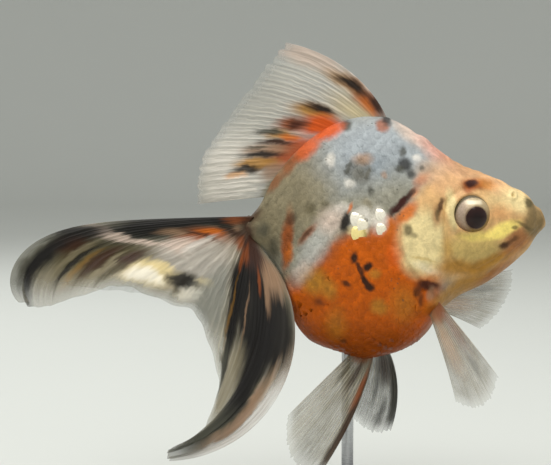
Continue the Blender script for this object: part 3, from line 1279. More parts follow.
    def plate(self) -> bpy.types.Object:
        """One scale at full size, a shallow wedge with its front in the skin: x runs back and z out."""
        across_parts, half = 6, 1.06 * self.row
        v = np.linspace(-1, 1, across_parts + 1)
        u = np.array([0, 0.5, 0.82, 1.0])[:, None]
        rear = 0.52 * np.sqrt(1 - 0.985 * v * v)
        front = -0.56 + 0.2 * v * v
        x = (front + (rear - front) * u) * self.pitch
        slope = np.clip(x / self.pitch / 1.04 + 0.5, 0, 1)
        rise = -self.front_sunk + (self.front_sunk + self.lift) * slope - 0.03 * x * x
        rise = rise - 0.2 * v * v - 0.36 * v**6
        top = np.stack([x, np.broadcast_to(half * v, x.shape), rise], -1)
        thick = np.where(u > 0.9, self.rim_depth, 0.0) * (1 - 0.5 * v * v) + 0.02
        low = top - thick[..., None] * np.array([0, 0, 1])
        sheet = Sheet()
        upper = sheet.add_points(top)
        lower = upper.copy()
        lower[1:, 1:-1] = sheet.add_points(low[1:, 1:-1])
        patch = np.stack([0.5 * x / self.pitch, np.broadcast_to(0.5 * v, x.shape)], -1)
        sheet.add_quads(upper, patch)
        sheet.add_quads(lower, patch, flip=True)
        rim = np.stack([upper[-1], lower[-1]])
        ends = np.stack([patch[-1], patch[-1]])
        sheet.add_quads(rim[:, 1:-1], ends[:, 1:-1])
        for first, inner in ((0, 1), (across_parts - 1, across_parts - 1)):
            sheet.faces.append(np.array([[rim[0, first], rim[1, inner], rim[0, first + 1]]]))
            sheet.corners.append(np.broadcast_to(patch[-1, first], (1, 3, 2)))
        mesh = sheet.mesh("scale_plate", "PlateMap")
        points = np.concatenate(sheet.points)
        patch_of = (points * np.array([0.5 / self.pitch, 0.5 / half, 0])).astype(np.float32)
        mesh.attributes.new("patch", "FLOAT_VECTOR", "POINT").data.foreach_set("vector", patch_of.ravel())
        reach = np.minimum(np.abs(points[:, 1]) / half, 1)
        at_rim = points[:, 0] > 0.4 * self.pitch * np.sqrt(1 - 0.985 * reach**2)
        for edge in mesh.edges:
            edge.use_edge_sharp = all(at_rim[number] for number in edge.vertices)
        return place(mesh)

    def tree(self) -> bpy.types.NodeTree:
        """The geometry nodes that put a plate on every root and lay its patch on the skin's map."""
        tree = bpy.data.node_groups.new("ScaleCoat", "GeometryNodeTree")
        sockets = {
            "Geometry": "NodeSocketGeometry", "Plate": "NodeSocketObject", "Disorder": "NodeSocketFloat",
            "Patch": "NodeSocketFloat", "Seed": "NodeSocketInt", "Material": "NodeSocketMaterial",
        }
        for label, kind in sockets.items():
            tree.interface.new_socket(name=label, in_out="INPUT", socket_type=kind)
        tree.interface.new_socket(name="Geometry", in_out="OUTPUT", socket_type="NodeSocketGeometry")
        graph = Graph(tree)
        source = graph.add("NodeGroupInput").outputs
        plate = graph.add("GeometryNodeObjectInfo", {"Object": source["Plate"]}).outputs["Geometry"]
        named = {}
        for key in ("turn", "size", "root_uv", "patch"):
            node = graph.add("GeometryNodeInputNamedAttribute", {"Name": key}, data_type="FLOAT_VECTOR")
            named[key] = node.outputs[0]
        bounds = {0: (-1, -1, -1), 1: (1, 1, 1), "Seed": source["Seed"]}
        jitter = graph.add("FunctionNodeRandomValue", bounds, data_type="FLOAT_VECTOR")
        shaken = graph.scaled(jitter.outputs[0], source["Disorder"])
        euler = graph.add("FunctionNodeEulerToRotation", {0: named["turn"]}).outputs[0]
        shake = graph.add("FunctionNodeEulerToRotation", {0: shaken}).outputs[0]
        turned = graph.add("FunctionNodeRotateRotation", {0: euler, 1: shake}, rotation_space="LOCAL")
        roots = {"Points": source["Geometry"], "Instance": plate}
        roots |= {"Rotation": turned.outputs[0], "Scale": named["size"]}
        copies = graph.add("GeometryNodeInstanceOnPoints", roots)
        real = graph.add("GeometryNodeRealizeInstances", {0: copies.outputs[0]}).outputs[0]
        spot = graph.vector("ADD", named["root_uv"], graph.scaled(named["patch"], source["Patch"]))
        stored = {"Geometry": real, "Name": BAKE_MAP}
        mapped = graph.add("GeometryNodeStoreNamedAttribute", stored, data_type="FLOAT2", domain="CORNER")
        graph.put(next(s for s in mapped.inputs if s.name == "Value" and s.enabled), spot)
        coated = {"Geometry": mapped.outputs[0], "Material": source["Material"]}
        dressed = graph.add("GeometryNodeSetMaterial", coated)
        graph.add("NodeGroupOutput", {0: dressed.outputs[0]})
        return tree

    def build(self, material: bpy.types.Material) -> bpy.types.Object:
        """The scales of this side as one mesh piece."""
        roots, plate = self.points(), self.plate()
        tree = self.tree()
        modifier = roots.modifiers.new("ScaleCoat", "NODES")
        modifier.node_group = tree
        given = {"Plate": plate, "Disorder": 0.035, "Patch": 0.003, "Seed": self.seed, "Material": material}
        for item in tree.interface.items_tree:
            if item.in_out == "INPUT" and item.name in given:
                modifier[item.identifier] = given[item.name]
        seen = bpy.context.evaluated_depsgraph_get()
        seen.update()
        made = roots.evaluated_get(seen)
        mesh = bpy.data.meshes.new_from_object(made, preserve_all_data_layers=True, depsgraph=seen)
        for spare in (roots, plate):
            bpy.data.objects.remove(spare)
        mesh.name = "scales_right" if self.side == RIGHT else "scales_left"
        piece = place(mesh)
        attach(piece, BODY)
        return piece


# ---- fins -------------------------------------------------------------------------------------------------


def fin_marks(*rows: tuple) -> tuple[Blotch, ...]:
    """Patches on a fin, placed along its rays from 0 to 1 and across them from 0 at the leading ray to 1.

    Args:
        *rows: For each patch, its centre along and across the rays, its reach along and across its own
            length, then its pigment and the rest of a Blotch.

    Returns:
        The blotches, in shares of the fin.
    """
    return tuple(Blotch((u, 0.0, v), (reach, FIN_DEPTH, width), *look) for u, v, reach, width, *look in rows)


@dataclass(frozen=True)
class FinFinish(Finish):
    """A clear ribbed membrane with pigment that runs in streaks along its rays."""

    name: str = "fin"
    rays: int = 16
    membrane: Paint = Paint.PALE
    ray: Paint = Paint.PALE
    clear: tuple[float, float] = (0.5, 0.3)
    ray_cover: float = 0.16
    marks: Sequence[Blotch] = ()
    wander: float = 0.06
    feather: float = 0.12
    roughness: float = 0.5
    specular: float = 0.25
    coat: float = 0.06
    coat_roughness: float = 0.2
    ior: float = 1.38

    def build(self) -> bpy.types.Material:
        """The material of one fin."""
        material, graph, shader = self.start()
        where = graph.add("ShaderNodeUVMap", uv_map=FIN_MAP).outputs[0]
        u, v, _ = graph.parts(where)
        lines = self.ray_lines(graph, u, v)
        stretched = graph.vector("MULTIPLY", where, (3.0, self.rays * 4.0, 1.0))
        fibres = graph.noise(stretched, 1.0, 3.0, 0.6)
        streak = graph.times(graph.less(fibres, 0.5), self.feather)
        space = graph.add("ShaderNodeCombineXYZ", {0: graph.plus(u, streak), 1: 0.0, 2: v}).outputs[0]
        cover = graph.step(u, 0.0, 1.0, self.clear[0], self.clear[1])
        cloud = graph.noise(space, 5.0, 3.0, 0.6)
        cover = graph.times(cover, graph.step(cloud, 0.3, 0.7, 0.85, 1.15))
        cover = graph.plus(cover, graph.times(lines, self.ray_cover))
        painter = Painter(f"{self.name}_marks", self.marks, 6.0, self.wander, covers=True)
        ground = graph.mix(lines, self.membrane.value, self.ray.value)
        given = {"Vector": space, "Ground": ground, "Cover": cover}
        marks = graph.add("ShaderNodeGroup", given, node_tree=painter.build())
        shade = graph.times(graph.step(fibres, 0.25, 0.75, 0.86, 1.12), graph.blend(lines, 0.98, 1.04))
        graph.put(shader.inputs["Base Color"], graph.scaled(marks.outputs["Color"], shade))
        rim = graph.step(graph.plus(u, streak), 0.86, 1.0, 1.0, 0.4)
        open_share = graph.less(1.0, marks.outputs["Cover"], clamp=True)
        see_through = graph.times(open_share, graph.step(fibres, 0.2, 0.8, 1.25, 0.8))
        graph.put(shader.inputs["Alpha"], graph.times(graph.less(1.0, see_through), rim, clamp=True))
        self.bump(graph, shader, graph.plus(lines, graph.times(fibres, 0.5)), 0.0001)
        return material

    def ray_lines(self, graph: Graph, u: Socket, v: Socket) -> Socket:
        """Lines along the rays, which branch and fade on their way out: 1 on a ray and 0 between rays."""
        spots = graph.add("ShaderNodeCombineXYZ", {0: u, 1: v, 2: 0.0}).outputs[0]
        drift = graph.less(graph.noise(spots, 7.0, 2.0), 0.5)
        place_v = graph.plus(v, graph.times(drift, 0.5 / self.rays))
        levels = []
        for branches in (1, 2):
            phase = graph.times(place_v, float(self.rays * branches))
            gap = graph.math("PINGPONG", phase, 0.5)
            levels.append(graph.step(gap, 0.3, 0.04))
        branched = graph.blend(graph.step(u, 0.3, 0.5), levels[0], levels[1])
        shown = graph.times(graph.step(u, 0.06, 0.3), graph.step(u, 0.35, 1.0, 1.0, 0.35))
        return graph.times(branched, shown)


@dataclass(frozen=True)
class Fin:
    """A fan of rays that start on a root line and bend as they run out, thickened into a ribbed closed sheet.

    Every list runs from the leading ray to the trailing ray, spaced evenly. Pitch is a ray's heading in the
    side view in degrees (0 forwards, 90 up, 180 back, 270 down), curl how far the heading turns by the tip
    and curl_power how late it does. Flare is how far the ray points out from the mid plane, and flare_curl
    how that changes.
    """

    name: str
    side: int
    nodes: Sequence[str]
    slot: str
    root: Sequence[tuple[float, float, float]]
    length: Sequence[float]
    pitch: Sequence[float]
    curl: Sequence[float]
    flare: Sequence[float] = (0.0,)
    flare_curl: Sequence[float] = (0.0,)
    curl_power: Sequence[float] = (1.0,)
    ripple: float = 1.0
    waves: float = 1.5
    phase: float = 0.0
    thick: float = 1.3
    thin: float = 0.3
    rib: float = 0.1
    pleat: float = 0.05
    fringe: float = 0.005
    ragged: float = 0.006
    columns: int = 160
    steps: int = 70
    finish: FinFinish = FinFinish()

    def rays(self, v: Array, parts: int) -> Array:
        """Points of the rays at shares v across the fin, in rows from root to tip, parts along each."""
        root = np.array(self.root, float)
        points = [np.stack([along(root[:, axis], v) for axis in range(3)], 1) * np.array([1, self.side, 1])]
        tips = self.fringe * np.cos(2 * np.pi * self.finish.rays * v)
        wild = np.sin(37 * v + self.phase) + np.sin(71 * v + 2.1) + np.sin(113 * v + 0.6 + self.phase)
        step = along(self.length, v) * (1 - self.fringe + tips + self.ragged * wild) / parts
        power = along(self.curl_power, v)
        plain = points[0]
        for i in range(1, parts + 1):
            share = (i - 0.5) / parts
            pitch = np.radians(along(self.pitch, v) + along(self.curl, v) * share**power)
            flare = np.radians(along(self.flare, v) + along(self.flare_curl, v) * share)
            lean = np.cos(flare)
            move = np.stack([lean * np.cos(pitch), self.side * np.sin(flare), lean * np.sin(pitch)], 1)
            plain = plain + step[:, None] * move
            wave = np.sin(2 * np.pi * self.waves * v + self.phase + 2.5 * share)
            placed = plain.copy()
            placed[:, 1] += self.side * self.ripple * (i / parts) ** 1.3 * wave
            points.append(placed)
        return np.stack(points, 1)

    def build(self) -> bpy.types.Object:
        """The fin as a piece that stands for its CAD nodes."""
        v = np.linspace(0, 1, self.columns + 1)
        u = np.linspace(0, 1, self.steps + 1)
        middle = self.rays(v, self.steps)
        across = np.gradient(middle, axis=0)
        down = np.gradient(middle, axis=1)
        normal = unit(np.cross(across, down))
        on_ray = np.cos(2 * np.pi * self.finish.rays * v)[:, None]
        out = np.broadcast_to(u, (len(v), len(u)))
        thickness = self.thick + (self.thin - self.thick) * np.sqrt(out)
        thickness = thickness + self.rib * np.maximum(on_ray, 0) * (1 - 0.75 * out) * ease(0, 0.06, out)
        edge = np.minimum(ease(0, 0.012, v), ease(0, 0.012, 1 - v))[:, None]
        thickness = thickness * (0.45 + 0.55 * edge * ease(0, 0.02, 1 - out))
        middle = middle + normal * (self.pleat * on_ray * ease(0.05, 0.5, out) * edge)[..., None]
        sheet = Sheet()
        front = sheet.add_points(middle + normal * thickness[..., None] / 2)
        rear = sheet.add_points(middle - normal * thickness[..., None] / 2)
        uv = np.stack(np.broadcast_arrays(u[None], v[:, None]), -1)
        sheet.add_quads(front, uv)
        sheet.add_quads(rear, uv, flip=True)
        for pick, flip in ((np.s_[0], True), (np.s_[-1], False), (np.s_[:, 0], False), (np.s_[:, -1], True)):
            sheet.add_quads(np.stack([front[pick], rear[pick]]), np.stack([uv[pick], uv[pick]]), flip)
        piece = place(sheet.mesh(self.name, FIN_MAP), self.finish.build())
        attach(piece, BODY)
        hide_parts(*self.nodes)
        return piece


DORSAL_MARKS = fin_marks(
    (0.6, 0.5, 0.4, 0.5, Paint.WHITE, 0, 0.8, 0.4, 0.66),
    (0.7, 0.86, 0.44, 0.22, Paint.WHITE, 0, 0.8, 0.9, 0.86),
    (0.78, 0.04, 0.34, 0.06, Paint.BLUSH, 0, 0.6, 0.85, 0.85),
    (0.2, 0.17, 0.2, 0.1, Paint.CHEEK, 0, 0.6, 0.4, 0.88),
    (0.4, 0.06, 0.18, 0.05, Paint.GOLD, 4, 0.6, 0.7, 0.92),
    (0.34, 0.05, 0.12, 0.045, Paint.RUST, 0, 0.6, 0.6, 0.95),
    (0.18, 0.055, 0.13, 0.075, Paint.RUST, 0, 0.6, 0.9, 0.96),
    (0.16, 0.09, 0.1, 0.04, Paint.ORANGE, 0, 0.7, 0.6, 0.96),
    (0.1, 0.2, 0.14, 0.08, Paint.CREAM, 0, 0.8, 0.4, 0.9),
    (0.39, 0.05, 0.13, 0.032, Paint.BLACK, 5, 0.6, 0.95),
    (0.16, 0.02, 0.08, 0.035, Paint.BLACK, 0, 0.6, 0.85),
    (0.34, 0.34, 0.19, 0.055, Paint.GOLD, 0, 0.6, 0.92, 0.94),
    (0.34, 0.305, 0.14, 0.032, Paint.UMBER, 0, 0.6, 0.9),
    (0.31, 0.3, 0.09, 0.02, Paint.BLACK, 0, 0.6, 0.8),
    (0.14, 0.42, 0.2, 0.09, Paint.RED, 0, 0.5, 0.98, 0.98),
    (0.38, 0.47, 0.14, 0.055, Paint.RUST, 0, 0.6, 0.95, 0.95),
    (0.34, 0.46, 0.08, 0.04, Paint.MAROON, 0, 0.7, 0.85, 0.98),
    (0.36, 0.56, 0.15, 0.04, Paint.GOLD, 0, 0.6, 0.85, 0.94),
    (0.26, 0.565, 0.1, 0.03, Paint.ORANGE, 0, 0.6, 0.8, 0.94),
    (0.08, 0.68, 0.22, 0.13, Paint.RED, 0, 0.5, 0.85, 0.97),
    (0.14, 0.68, 0.2, 0.09, Paint.RUST, 0, 0.7, 0.6, 0.95),
    (0.38, 0.68, 0.22, 0.05, Paint.CLAY, 0, 0.5, 0.85, 0.9),
    (0.37, 0.775, 0.24, 0.042, Paint.GOLD, 0, 0.5, 0.9, 0.93),
    (0.14, 0.83, 0.13, 0.06, Paint.CLAY, 0, 0.6, 0.8, 0.9),
    (0.56, 0.845, 0.12, 0.022, Paint.PEACH, 0, 0.6, 0.9, 0.92),
    (0.5, 0.545, 0.14, 0.022, Paint.SMOKE, 0, 0.6, 0.9, 0.92),
    (0.34, 0.62, 0.18, 0.02, Paint.UMBER, 0, 0.6, 0.95, 0.96),
    (0.5, 0.665, 0.1, 0.014, Paint.SMOKE, 0, 0.6, 0.7, 0.94),
    (0.38, 0.72, 0.22, 0.021, Paint.BLACK, 0, 0.6, 0.92),
    (0.46, 0.815, 0.17, 0.026, Paint.BLACK, 0, 0.6, 0.92),
    (0.04, 0.93, 0.08, 0.08, Paint.OLIVE, 0, 0.6, 0.8, 0.94),
    (0.0, 0.04, 0.05, 0.06, Paint.SMOKE, 0, 0.6, 0.8, 0.95),
)

DORSAL = Fin(
    name="fin_dorsal", side=LEFT, nodes=("dorsal_fin",), slot="dorsal_fin",
    root=((7.2, 0, 97.0), (0, 0, 97.2), (-9, 0, 94.0), (-16.5, 0, 88.0), (-23.2, 0, 78.8)),
    length=(33.6, 28.2, 25.1, 23.1, 17.6), pitch=(110, 144, 165, 177, 184), curl=(59, 26, 15, 8, 4),
    curl_power=(0.85, 1, 1, 1, 1), ripple=1.1, waves=1.6, phase=0.4, columns=240, steps=80,
    finish=FinFinish(
        name="dorsal_membrane", rays=19, membrane=Paint.MIST, ray=Paint.WHITE, clear=(0.62, 0.5), wander=0.05,
        marks=DORSAL_MARKS,
    ),
)

TAIL_ROOT = ((-26.6, 1.6, 74), (-27.9, 1.6, 72.4), (-27.9, 1.6, 70.6), (-27.4, 1.6, 68.6), (-25.6, 1.8, 66.6))

TAIL_MARKS = fin_marks(
    # The upper lobe.
    (0.5, 0.4, 0.3, 0.13, Paint.BLUSH, 0, 0.6, 0.5, 0.7),
    (0.54, 0.4, 0.26, 0.11, Paint.MIST, 0, 0.6, 0.5, 0.75),
    (0.82, 0.18, 0.22, 0.14, Paint.OLIVE, 0, 0.5, 0.9, 0.72),
    (0.72, 0.2, 0.14, 0.15, Paint.DARK_OLIVE, 0, 0.4, 0.95, 0.9),
    (0.32, 0.1, 0.3, 0.17, Paint.SMOKE, 10, 0.4, 0.95, 0.96),
    (0.24, 0.06, 0.26, 0.1, Paint.BLACK, 6, 0.5, 0.95, 0.98),
    (0.44, 0.12, 0.12, 0.09, Paint.BLACK, 10, 0.6, 0.85, 0.97),
    (0.36, 0.31, 0.1, 0.06, Paint.RUST, 10, 0.6, 0.9, 0.94),
    (0.23, 0.3, 0.09, 0.12, Paint.RUST, 20, 0.6, 0.95, 0.96),
    (0.22, 0.29, 0.05, 0.07, Paint.ORANGE, 20, 0.6, 0.9, 0.96),
    (0.36, 0.2, 0.05, 0.05, Paint.CLAY, 20, 0.7, 0.8, 0.94),
    (0.3, 0.3, 0.02, 0.1, Paint.UMBER, 10, 0.7, 0.75, 0.95),
    (0.12, 0.24, 0.05, 0.2, Paint.BLACK, 0, 0.6, 0.9, 0.97),
    (0.05, 0.12, 0.05, 0.14, Paint.RUST, 0, 0.7, 0.8, 0.96),
    (0.56, 0.16, 0.035, 0.16, Paint.BLUSH, 6, 0.5, 0.95, 0.9),
    (0.48, 0.33, 0.1, 0.05, Paint.BLUSH, 10, 0.6, 0.9, 0.9),
    (0.4, 0.37, 0.14, 0.016, Paint.WHITE, 4, 0.6, 0.7, 0.9),
    (0.78, 0.03, 0.22, 0.06, Paint.SMOKE, 0, 0.5, 0.85, 0.9),
    (0.64, 0.05, 0.1, 0.06, Paint.BLACK, 0, 0.6, 0.95, 0.97),
    (0.7, 0.09, 0.06, 0.04, Paint.UMBER, 0, 0.7, 0.9, 0.95),
    (0.84, 0.06, 0.2, 0.028, Paint.BLACK, 0, 0.6, 0.98, 0.97),
    (0.86, 0.0, 0.16, 0.018, Paint.GREY, 0, 0.6, 0.9, 0.85),
    (0.74, 0.13, 0.12, 0.012, Paint.OLIVE, 0, 0.6, 0.8, 0.85),
    (0.78, 0.16, 0.14, 0.012, Paint.BLACK, 0, 0.6, 0.85, 0.9),
    (0.8, 0.19, 0.12, 0.01, Paint.GOLD, 0, 0.6, 0.3, 0.85),
    (0.76, 0.22, 0.12, 0.022, Paint.UMBER, 0, 0.6, 0.9, 0.92),
    (0.8, 0.25, 0.1, 0.01, Paint.OLIVE, 0, 0.6, 0.8, 0.85),
    (0.74, 0.285, 0.1, 0.024, Paint.UMBER, 0, 0.6, 0.9, 0.92),
    (0.86, 0.28, 0.08, 0.014, Paint.DARK_OLIVE, 0, 0.6, 0.8, 0.85),
    (0.83, 0.36, 0.11, 0.05, Paint.CREAM, 0, 0.5, 0.95, 0.9),
    (0.86, 0.36, 0.07, 0.04, Paint.PEARL, 0, 0.6, 0.9, 0.92),
    (0.74, 0.385, 0.05, 0.03, Paint.CREAM, 0, 0.6, 0.8, 0.9),
    (0.78, 0.45, 0.11, 0.03, Paint.OLIVE, 0, 0.6, 0.9, 0.94),
    (0.76, 0.43, 0.1, 0.026, Paint.BLACK, -4, 0.5, 0.95, 0.97),
    (0.68, 0.475, 0.04, 0.02, Paint.CREAM, 0, 0.6, 0.8, 0.9),
    (0.86, 0.465, 0.08, 0.026, Paint.PEARL, 0, 0.6, 0.9, 0.9),
    # The lower lobe.
    (0.72, 0.52, 0.34, 0.06, Paint.GREY, 0, 0.5, 0.9, 0.86),
    (0.76, 0.74, 0.28, 0.045, Paint.OLIVE, 0, 0.6, 0.8, 0.78),
    (0.1, 0.72, 0.16, 0.24, Paint.MAROON, 0, 0.5, 0.95, 0.97),
    (0.32, 0.63, 0.16, 0.09, Paint.BLACK, 0, 0.4, 0.96, 0.98),
    (0.36, 0.77, 0.22, 0.16, Paint.BLACK, 0, 0.35, 0.98, 0.98),
    (0.36, 0.9, 0.17, 0.12, Paint.BLACK, 0, 0.4, 0.97, 0.98),
    (0.5, 0.635, 0.3, 0.05, Paint.BLACK, 3, 0.5, 0.96, 0.97),
    (0.68, 0.66, 0.28, 0.034, Paint.BLACK, 1, 0.5, 0.9, 0.95),
    (0.86, 0.655, 0.12, 0.03, Paint.SMOKE, 0, 0.6, 0.85, 0.9),
    (0.54, 0.84, 0.22, 0.09, Paint.BLACK, 0, 0.45, 0.98, 0.98),
    (0.7, 0.875, 0.2, 0.07, Paint.BLACK, 2, 0.5, 0.97, 0.97),
    (0.9, 0.9, 0.16, 0.085, Paint.SMOKE, 2, 0.6, 0.92, 0.92),
    (0.92, 0.97, 0.1, 0.04, Paint.DARK_OLIVE, 0, 0.7, 0.7, 0.7),
    (0.54, 0.618, 0.22, 0.008, Paint.GOLD, 0, 0.7, 0.3, 0.95),
    (0.42, 0.73, 0.14, 0.005, Paint.CLAY, 0, 0.7, 0.5, 0.96),
    (0.2, 0.6, 0.07, 0.03, Paint.RUST, 0, 0.7, 0.8, 0.96),
    (0.12, 0.66, 0.06, 0.04, Paint.RUST, 0, 0.7, 0.7, 0.96),
    (0.15, 0.93, 0.08, 0.07, Paint.CLAY, 0, 0.6, 0.9, 0.96),
    (0.22, 0.87, 0.09, 0.02, Paint.CLAY, 0, 0.6, 0.8, 0.96),
    (0.7, 1.0, 0.24, 0.05, Paint.CLAY, -1, 0.5, 0.9, 0.2),
    (0.68, 0.945, 0.16, 0.014, Paint.CLAY, -1, 0.7, 0.85, 0.85),
    (0.2, 0.81, 0.06, 0.014, Paint.RUST, 0, 0.6, 0.7, 0.96),
    (0.06, 0.8, 0.05, 0.1, Paint.UMBER, 0, 0.6, 0.8, 0.95),
    # The root.
    (0.1, 0.44, 0.08, 0.12, Paint.UMBER, 0, 0.7, 0.85, 0.94),
    (0.16, 0.5, 0.06, 0.05, Paint.RUST, 0, 0.7, 0.7, 0.94),
    (0.08, 0.34, 0.03, 0.05, Paint.CLAY, 0, 0.7, 0.6, 0.95),
    (0.0, 0.4, 0.05, 0.6, Paint.UMBER, 0, 0.6, 0.9, 0.97),
)

TAIL = Fin(
    name="tail_right", side=RIGHT, nodes=("tail_upper_lobe_right", "tail_lower_lobe_right"), slot="tail_fin",
    root=TAIL_ROOT,
    length=(71.7, 63, 48, 34, 26, 38, 50, 62, 74), pitch=(180.7, 184, 188, 198, 238, 256, 276, 298, 322),
    curl=(140, 100, 60, 26, 0, 4, -44, -98, -140), curl_power=(5.3, 4.1, 3, 2, 1, 1, 1.3, 1, 0.92),
    flare=(12, 15, 17, 19, 22, 24, 26, 28, 28), flare_curl=(8, 8, 8, 6, 4, -4, -14, -22, -26),
    ripple=2, waves=2.2, phase=0.2, columns=300, steps=130,
    finish=FinFinish(
        name="tail_right_membrane", rays=20, membrane=Paint.FLANK, clear=(0.72, 0.5), wander=0.05,
        marks=TAIL_MARKS,
    ),
)

TAIL_LEFT_MARKS = fin_marks(
    (0.3, 0.09, 0.34, 0.07, Paint.BLACK, 6, 0.5, 0.95, 0.97),
    (0.7, 0.06, 0.2, 0.04, Paint.SMOKE, 2, 0.6, 0.9, 0.95),
    (0.3, 0.26, 0.1, 0.08, Paint.ORANGE, 20, 0.6, 0.85, 0.95),
    (0.6, 0.24, 0.16, 0.04, Paint.DARK_OLIVE, 6, 0.6, 0.8, 0.9),
    (0.7, 0.34, 0.12, 0.03, Paint.BLACK, 0, 0.6, 0.9, 0.95),
    (0.06, 0.4, 0.09, 0.4, Paint.MAROON, 0, 0.6, 0.85, 0.96),
    (0.3, 0.74, 0.2, 0.16, Paint.BLACK, 0, 0.5, 0.95, 0.97),
    (0.5, 0.62, 0.24, 0.03, Paint.BLACK, 4, 0.6, 0.95, 0.96),
    (0.52, 0.84, 0.3, 0.07, Paint.BLACK, 2, 0.5, 0.95, 0.96),
    (0.82, 0.88, 0.16, 0.05, Paint.SMOKE, -4, 0.6, 0.9, 0.92),
    (0.6, 0.74, 0.24, 0.03, Paint.BLUSH, 0, 0.6, 0.6, 0.6),
    (0.2, 0.9, 0.09, 0.05, Paint.PEACH, 0, 0.6, 0.8, 0.95),
)

TAIL_LEFT = replace(
    TAIL,
    name="tail_left", side=LEFT, nodes=("tail_upper_lobe_left", "tail_lower_lobe_left"),
    length=(60, 58, 48, 36, 27, 32, 42, 52, 58), pitch=(184, 188, 195, 208, 238, 258, 278, 298, 316),
    curl=(76, 62, 44, 20, 0, 2, -34, -74, -104), phase=1.3,
    finish=FinFinish(
        name="tail_left_membrane", rays=20, membrane=Paint.GREY, clear=(0.55, 0.34), wander=0.05,
        marks=TAIL_LEFT_MARKS,
    ),
)

PECTORAL = Fin(
    name="pectoral_right", side=RIGHT, nodes=("pectoral_fin_right",), slot="paired_fin",
    root=((18.4, 12.3, 54.2), (17.4, 13.2, 52.4), (16.6, 13.4, 50.4)),
    length=(25, 27, 26, 22), pitch=(310, 303, 296, 289), curl=(-4, -5, -6, -7), curl_power=(1.2,),
    flare=(34, 30, 26, 22), flare_curl=(-6,), ripple=0.7, waves=1.2, phase=1.0, thick=1.1,
    columns=110, steps=50,
    finish=FinFinish(
        name="pectoral_right_membrane", rays=15, membrane=Paint.OLIVE, clear=(0.62, 0.3), ray_cover=0.14,
        marks=fin_marks(
            (0.04, 0.4, 0.12, 0.5, Paint.RUST, 0, 0.5, 0.8, 0.95),
            (0.3, 0.2, 0.26, 0.16, Paint.RUST, 0, 0.8, 0.5, 0.6),
            (0.36, 0.7, 0.26, 0.2, Paint.PEACH, 0, 0.8, 0.5, 0.6),
            (0.7, 0.3, 0.12, 0.06, Paint.SMOKE, 0, 0.8, 0.6, 0.5),
        ),
    ),
)

PECTORAL_LEFT = replace(
    PECTORAL,
    name="pectoral_left", side=LEFT, nodes=("pectoral_fin_left",), length=(29, 29, 26, 21),
    pitch=(371, 361, 350, 338), flare=(38, 38, 36, 34),
    finish=replace(PECTORAL.finish, name="pectoral_left_membrane"),
)

PELVIC = Fin(
    name="pelvic_right", side=RIGHT, nodes=("pelvic_fin_right",), slot="paired_fin",
    root=((3.4, 4.2, 40.6), (1.2, 4.6, 40.4), (-1.8, 4.8, 40.8)),
    length=(34, 34, 31, 25), pitch=(262, 247, 234, 221), curl=(-28, -18, -9, 0), curl_power=(0.6,),
    flare=(20, 24, 28, 32), flare_curl=(-4,), ripple=0.8, waves=1.5, phase=0.6, columns=110, steps=60,
    finish=FinFinish(
        name="pelvic_right_membrane", rays=12, membrane=Paint.FLANK, clear=(0.62, 0.36), marks=fin_marks(
            (0.56, 0.04, 0.5, 0.06, Paint.UMBER, 0, 0.6, 0.9, 0.95),
            (0.3, 0.1, 0.16, 0.06, Paint.RUST, 0, 0.6, 0.85, 0.95),
            (0.2, 0.42, 0.14, 0.1, Paint.UMBER, 0, 0.7, 0.8, 0.85),
            (0.24, 0.74, 0.12, 0.05, Paint.DARK_OLIVE, 0, 0.7, 0.7, 0.8),
            (0.02, 0.5, 0.08, 0.5, Paint.DEEP, 0, 0.5, 0.8, 0.95),
        ),
    ),
)

PELVIC_LEFT = replace(
    PELVIC,
    name="pelvic_left", side=LEFT, nodes=("pelvic_fin_left",),
    root=((6.8, 4.2, 41), (4.6, 4.6, 40.6), (1.6, 4.8, 40.6)), length=(25, 26, 24, 19),
    pitch=(300, 286, 273, 260), curl=(-48, -36, -24, -14), curl_power=(0.9,),
    finish=replace(
        PELVIC.finish, name="pelvic_left_membrane", membrane=Paint.GREY, marks=fin_marks(
            (0.5, 0.06, 0.5, 0.1, Paint.SMOKE, 0, 0.6, 0.9, 0.92),
            (0.24, 0.3, 0.2, 0.2, Paint.UMBER, 0, 0.7, 0.8, 0.9),
            (0.8, 0.3, 0.2, 0.06, Paint.SMOKE, 10, 0.6, 0.7, 0.7),
            (0.5, 0.5, 0.2, 0.04, Paint.SMOKE, 0, 0.7, 0.7, 0.7),
            (0.02, 0.5, 0.08, 0.5, Paint.DEEP, 0, 0.5, 0.8, 0.95),
        ),
    ),
)

ANAL = Fin(
    name="anal_right", side=RIGHT, nodes=("anal_fin_right",), slot="paired_fin",
    root=((-17.6, 2.6, 50.6), (-19, 2.4, 55), (-20.8, 2.2, 59.4)),
    length=(18, 16, 12), pitch=(240, 226, 212), curl=(-10, -6, -4), flare=(8,), flare_curl=(4,),
    ripple=0.4, waves=1.2, thick=1.0, columns=80, steps=40,
    finish=FinFinish(
        name="anal_right_membrane", rays=7, membrane=Paint.FLANK, clear=(0.6, 0.36), marks=fin_marks(
            (0.05, 0.5, 0.16, 0.5, Paint.DEEP, 0, 0.5, 0.8, 0.95),
            (0.5, 0.3, 0.3, 0.05, Paint.SMOKE, 0, 0.5, 0.7, 0.85),
        ),
    ),
)

ANAL_LEFT = replace(
    ANAL, name="anal_left", side=LEFT, nodes=("anal_fin_left",),
    finish=replace(ANAL.finish, name="anal_left_membrane"),
)

FINS = (DORSAL, TAIL, TAIL_LEFT, PECTORAL, PECTORAL_LEFT, PELVIC, PELVIC_LEFT, ANAL, ANAL_LEFT)


# ---- eyes -------------------------------------------------------------------------------------------------


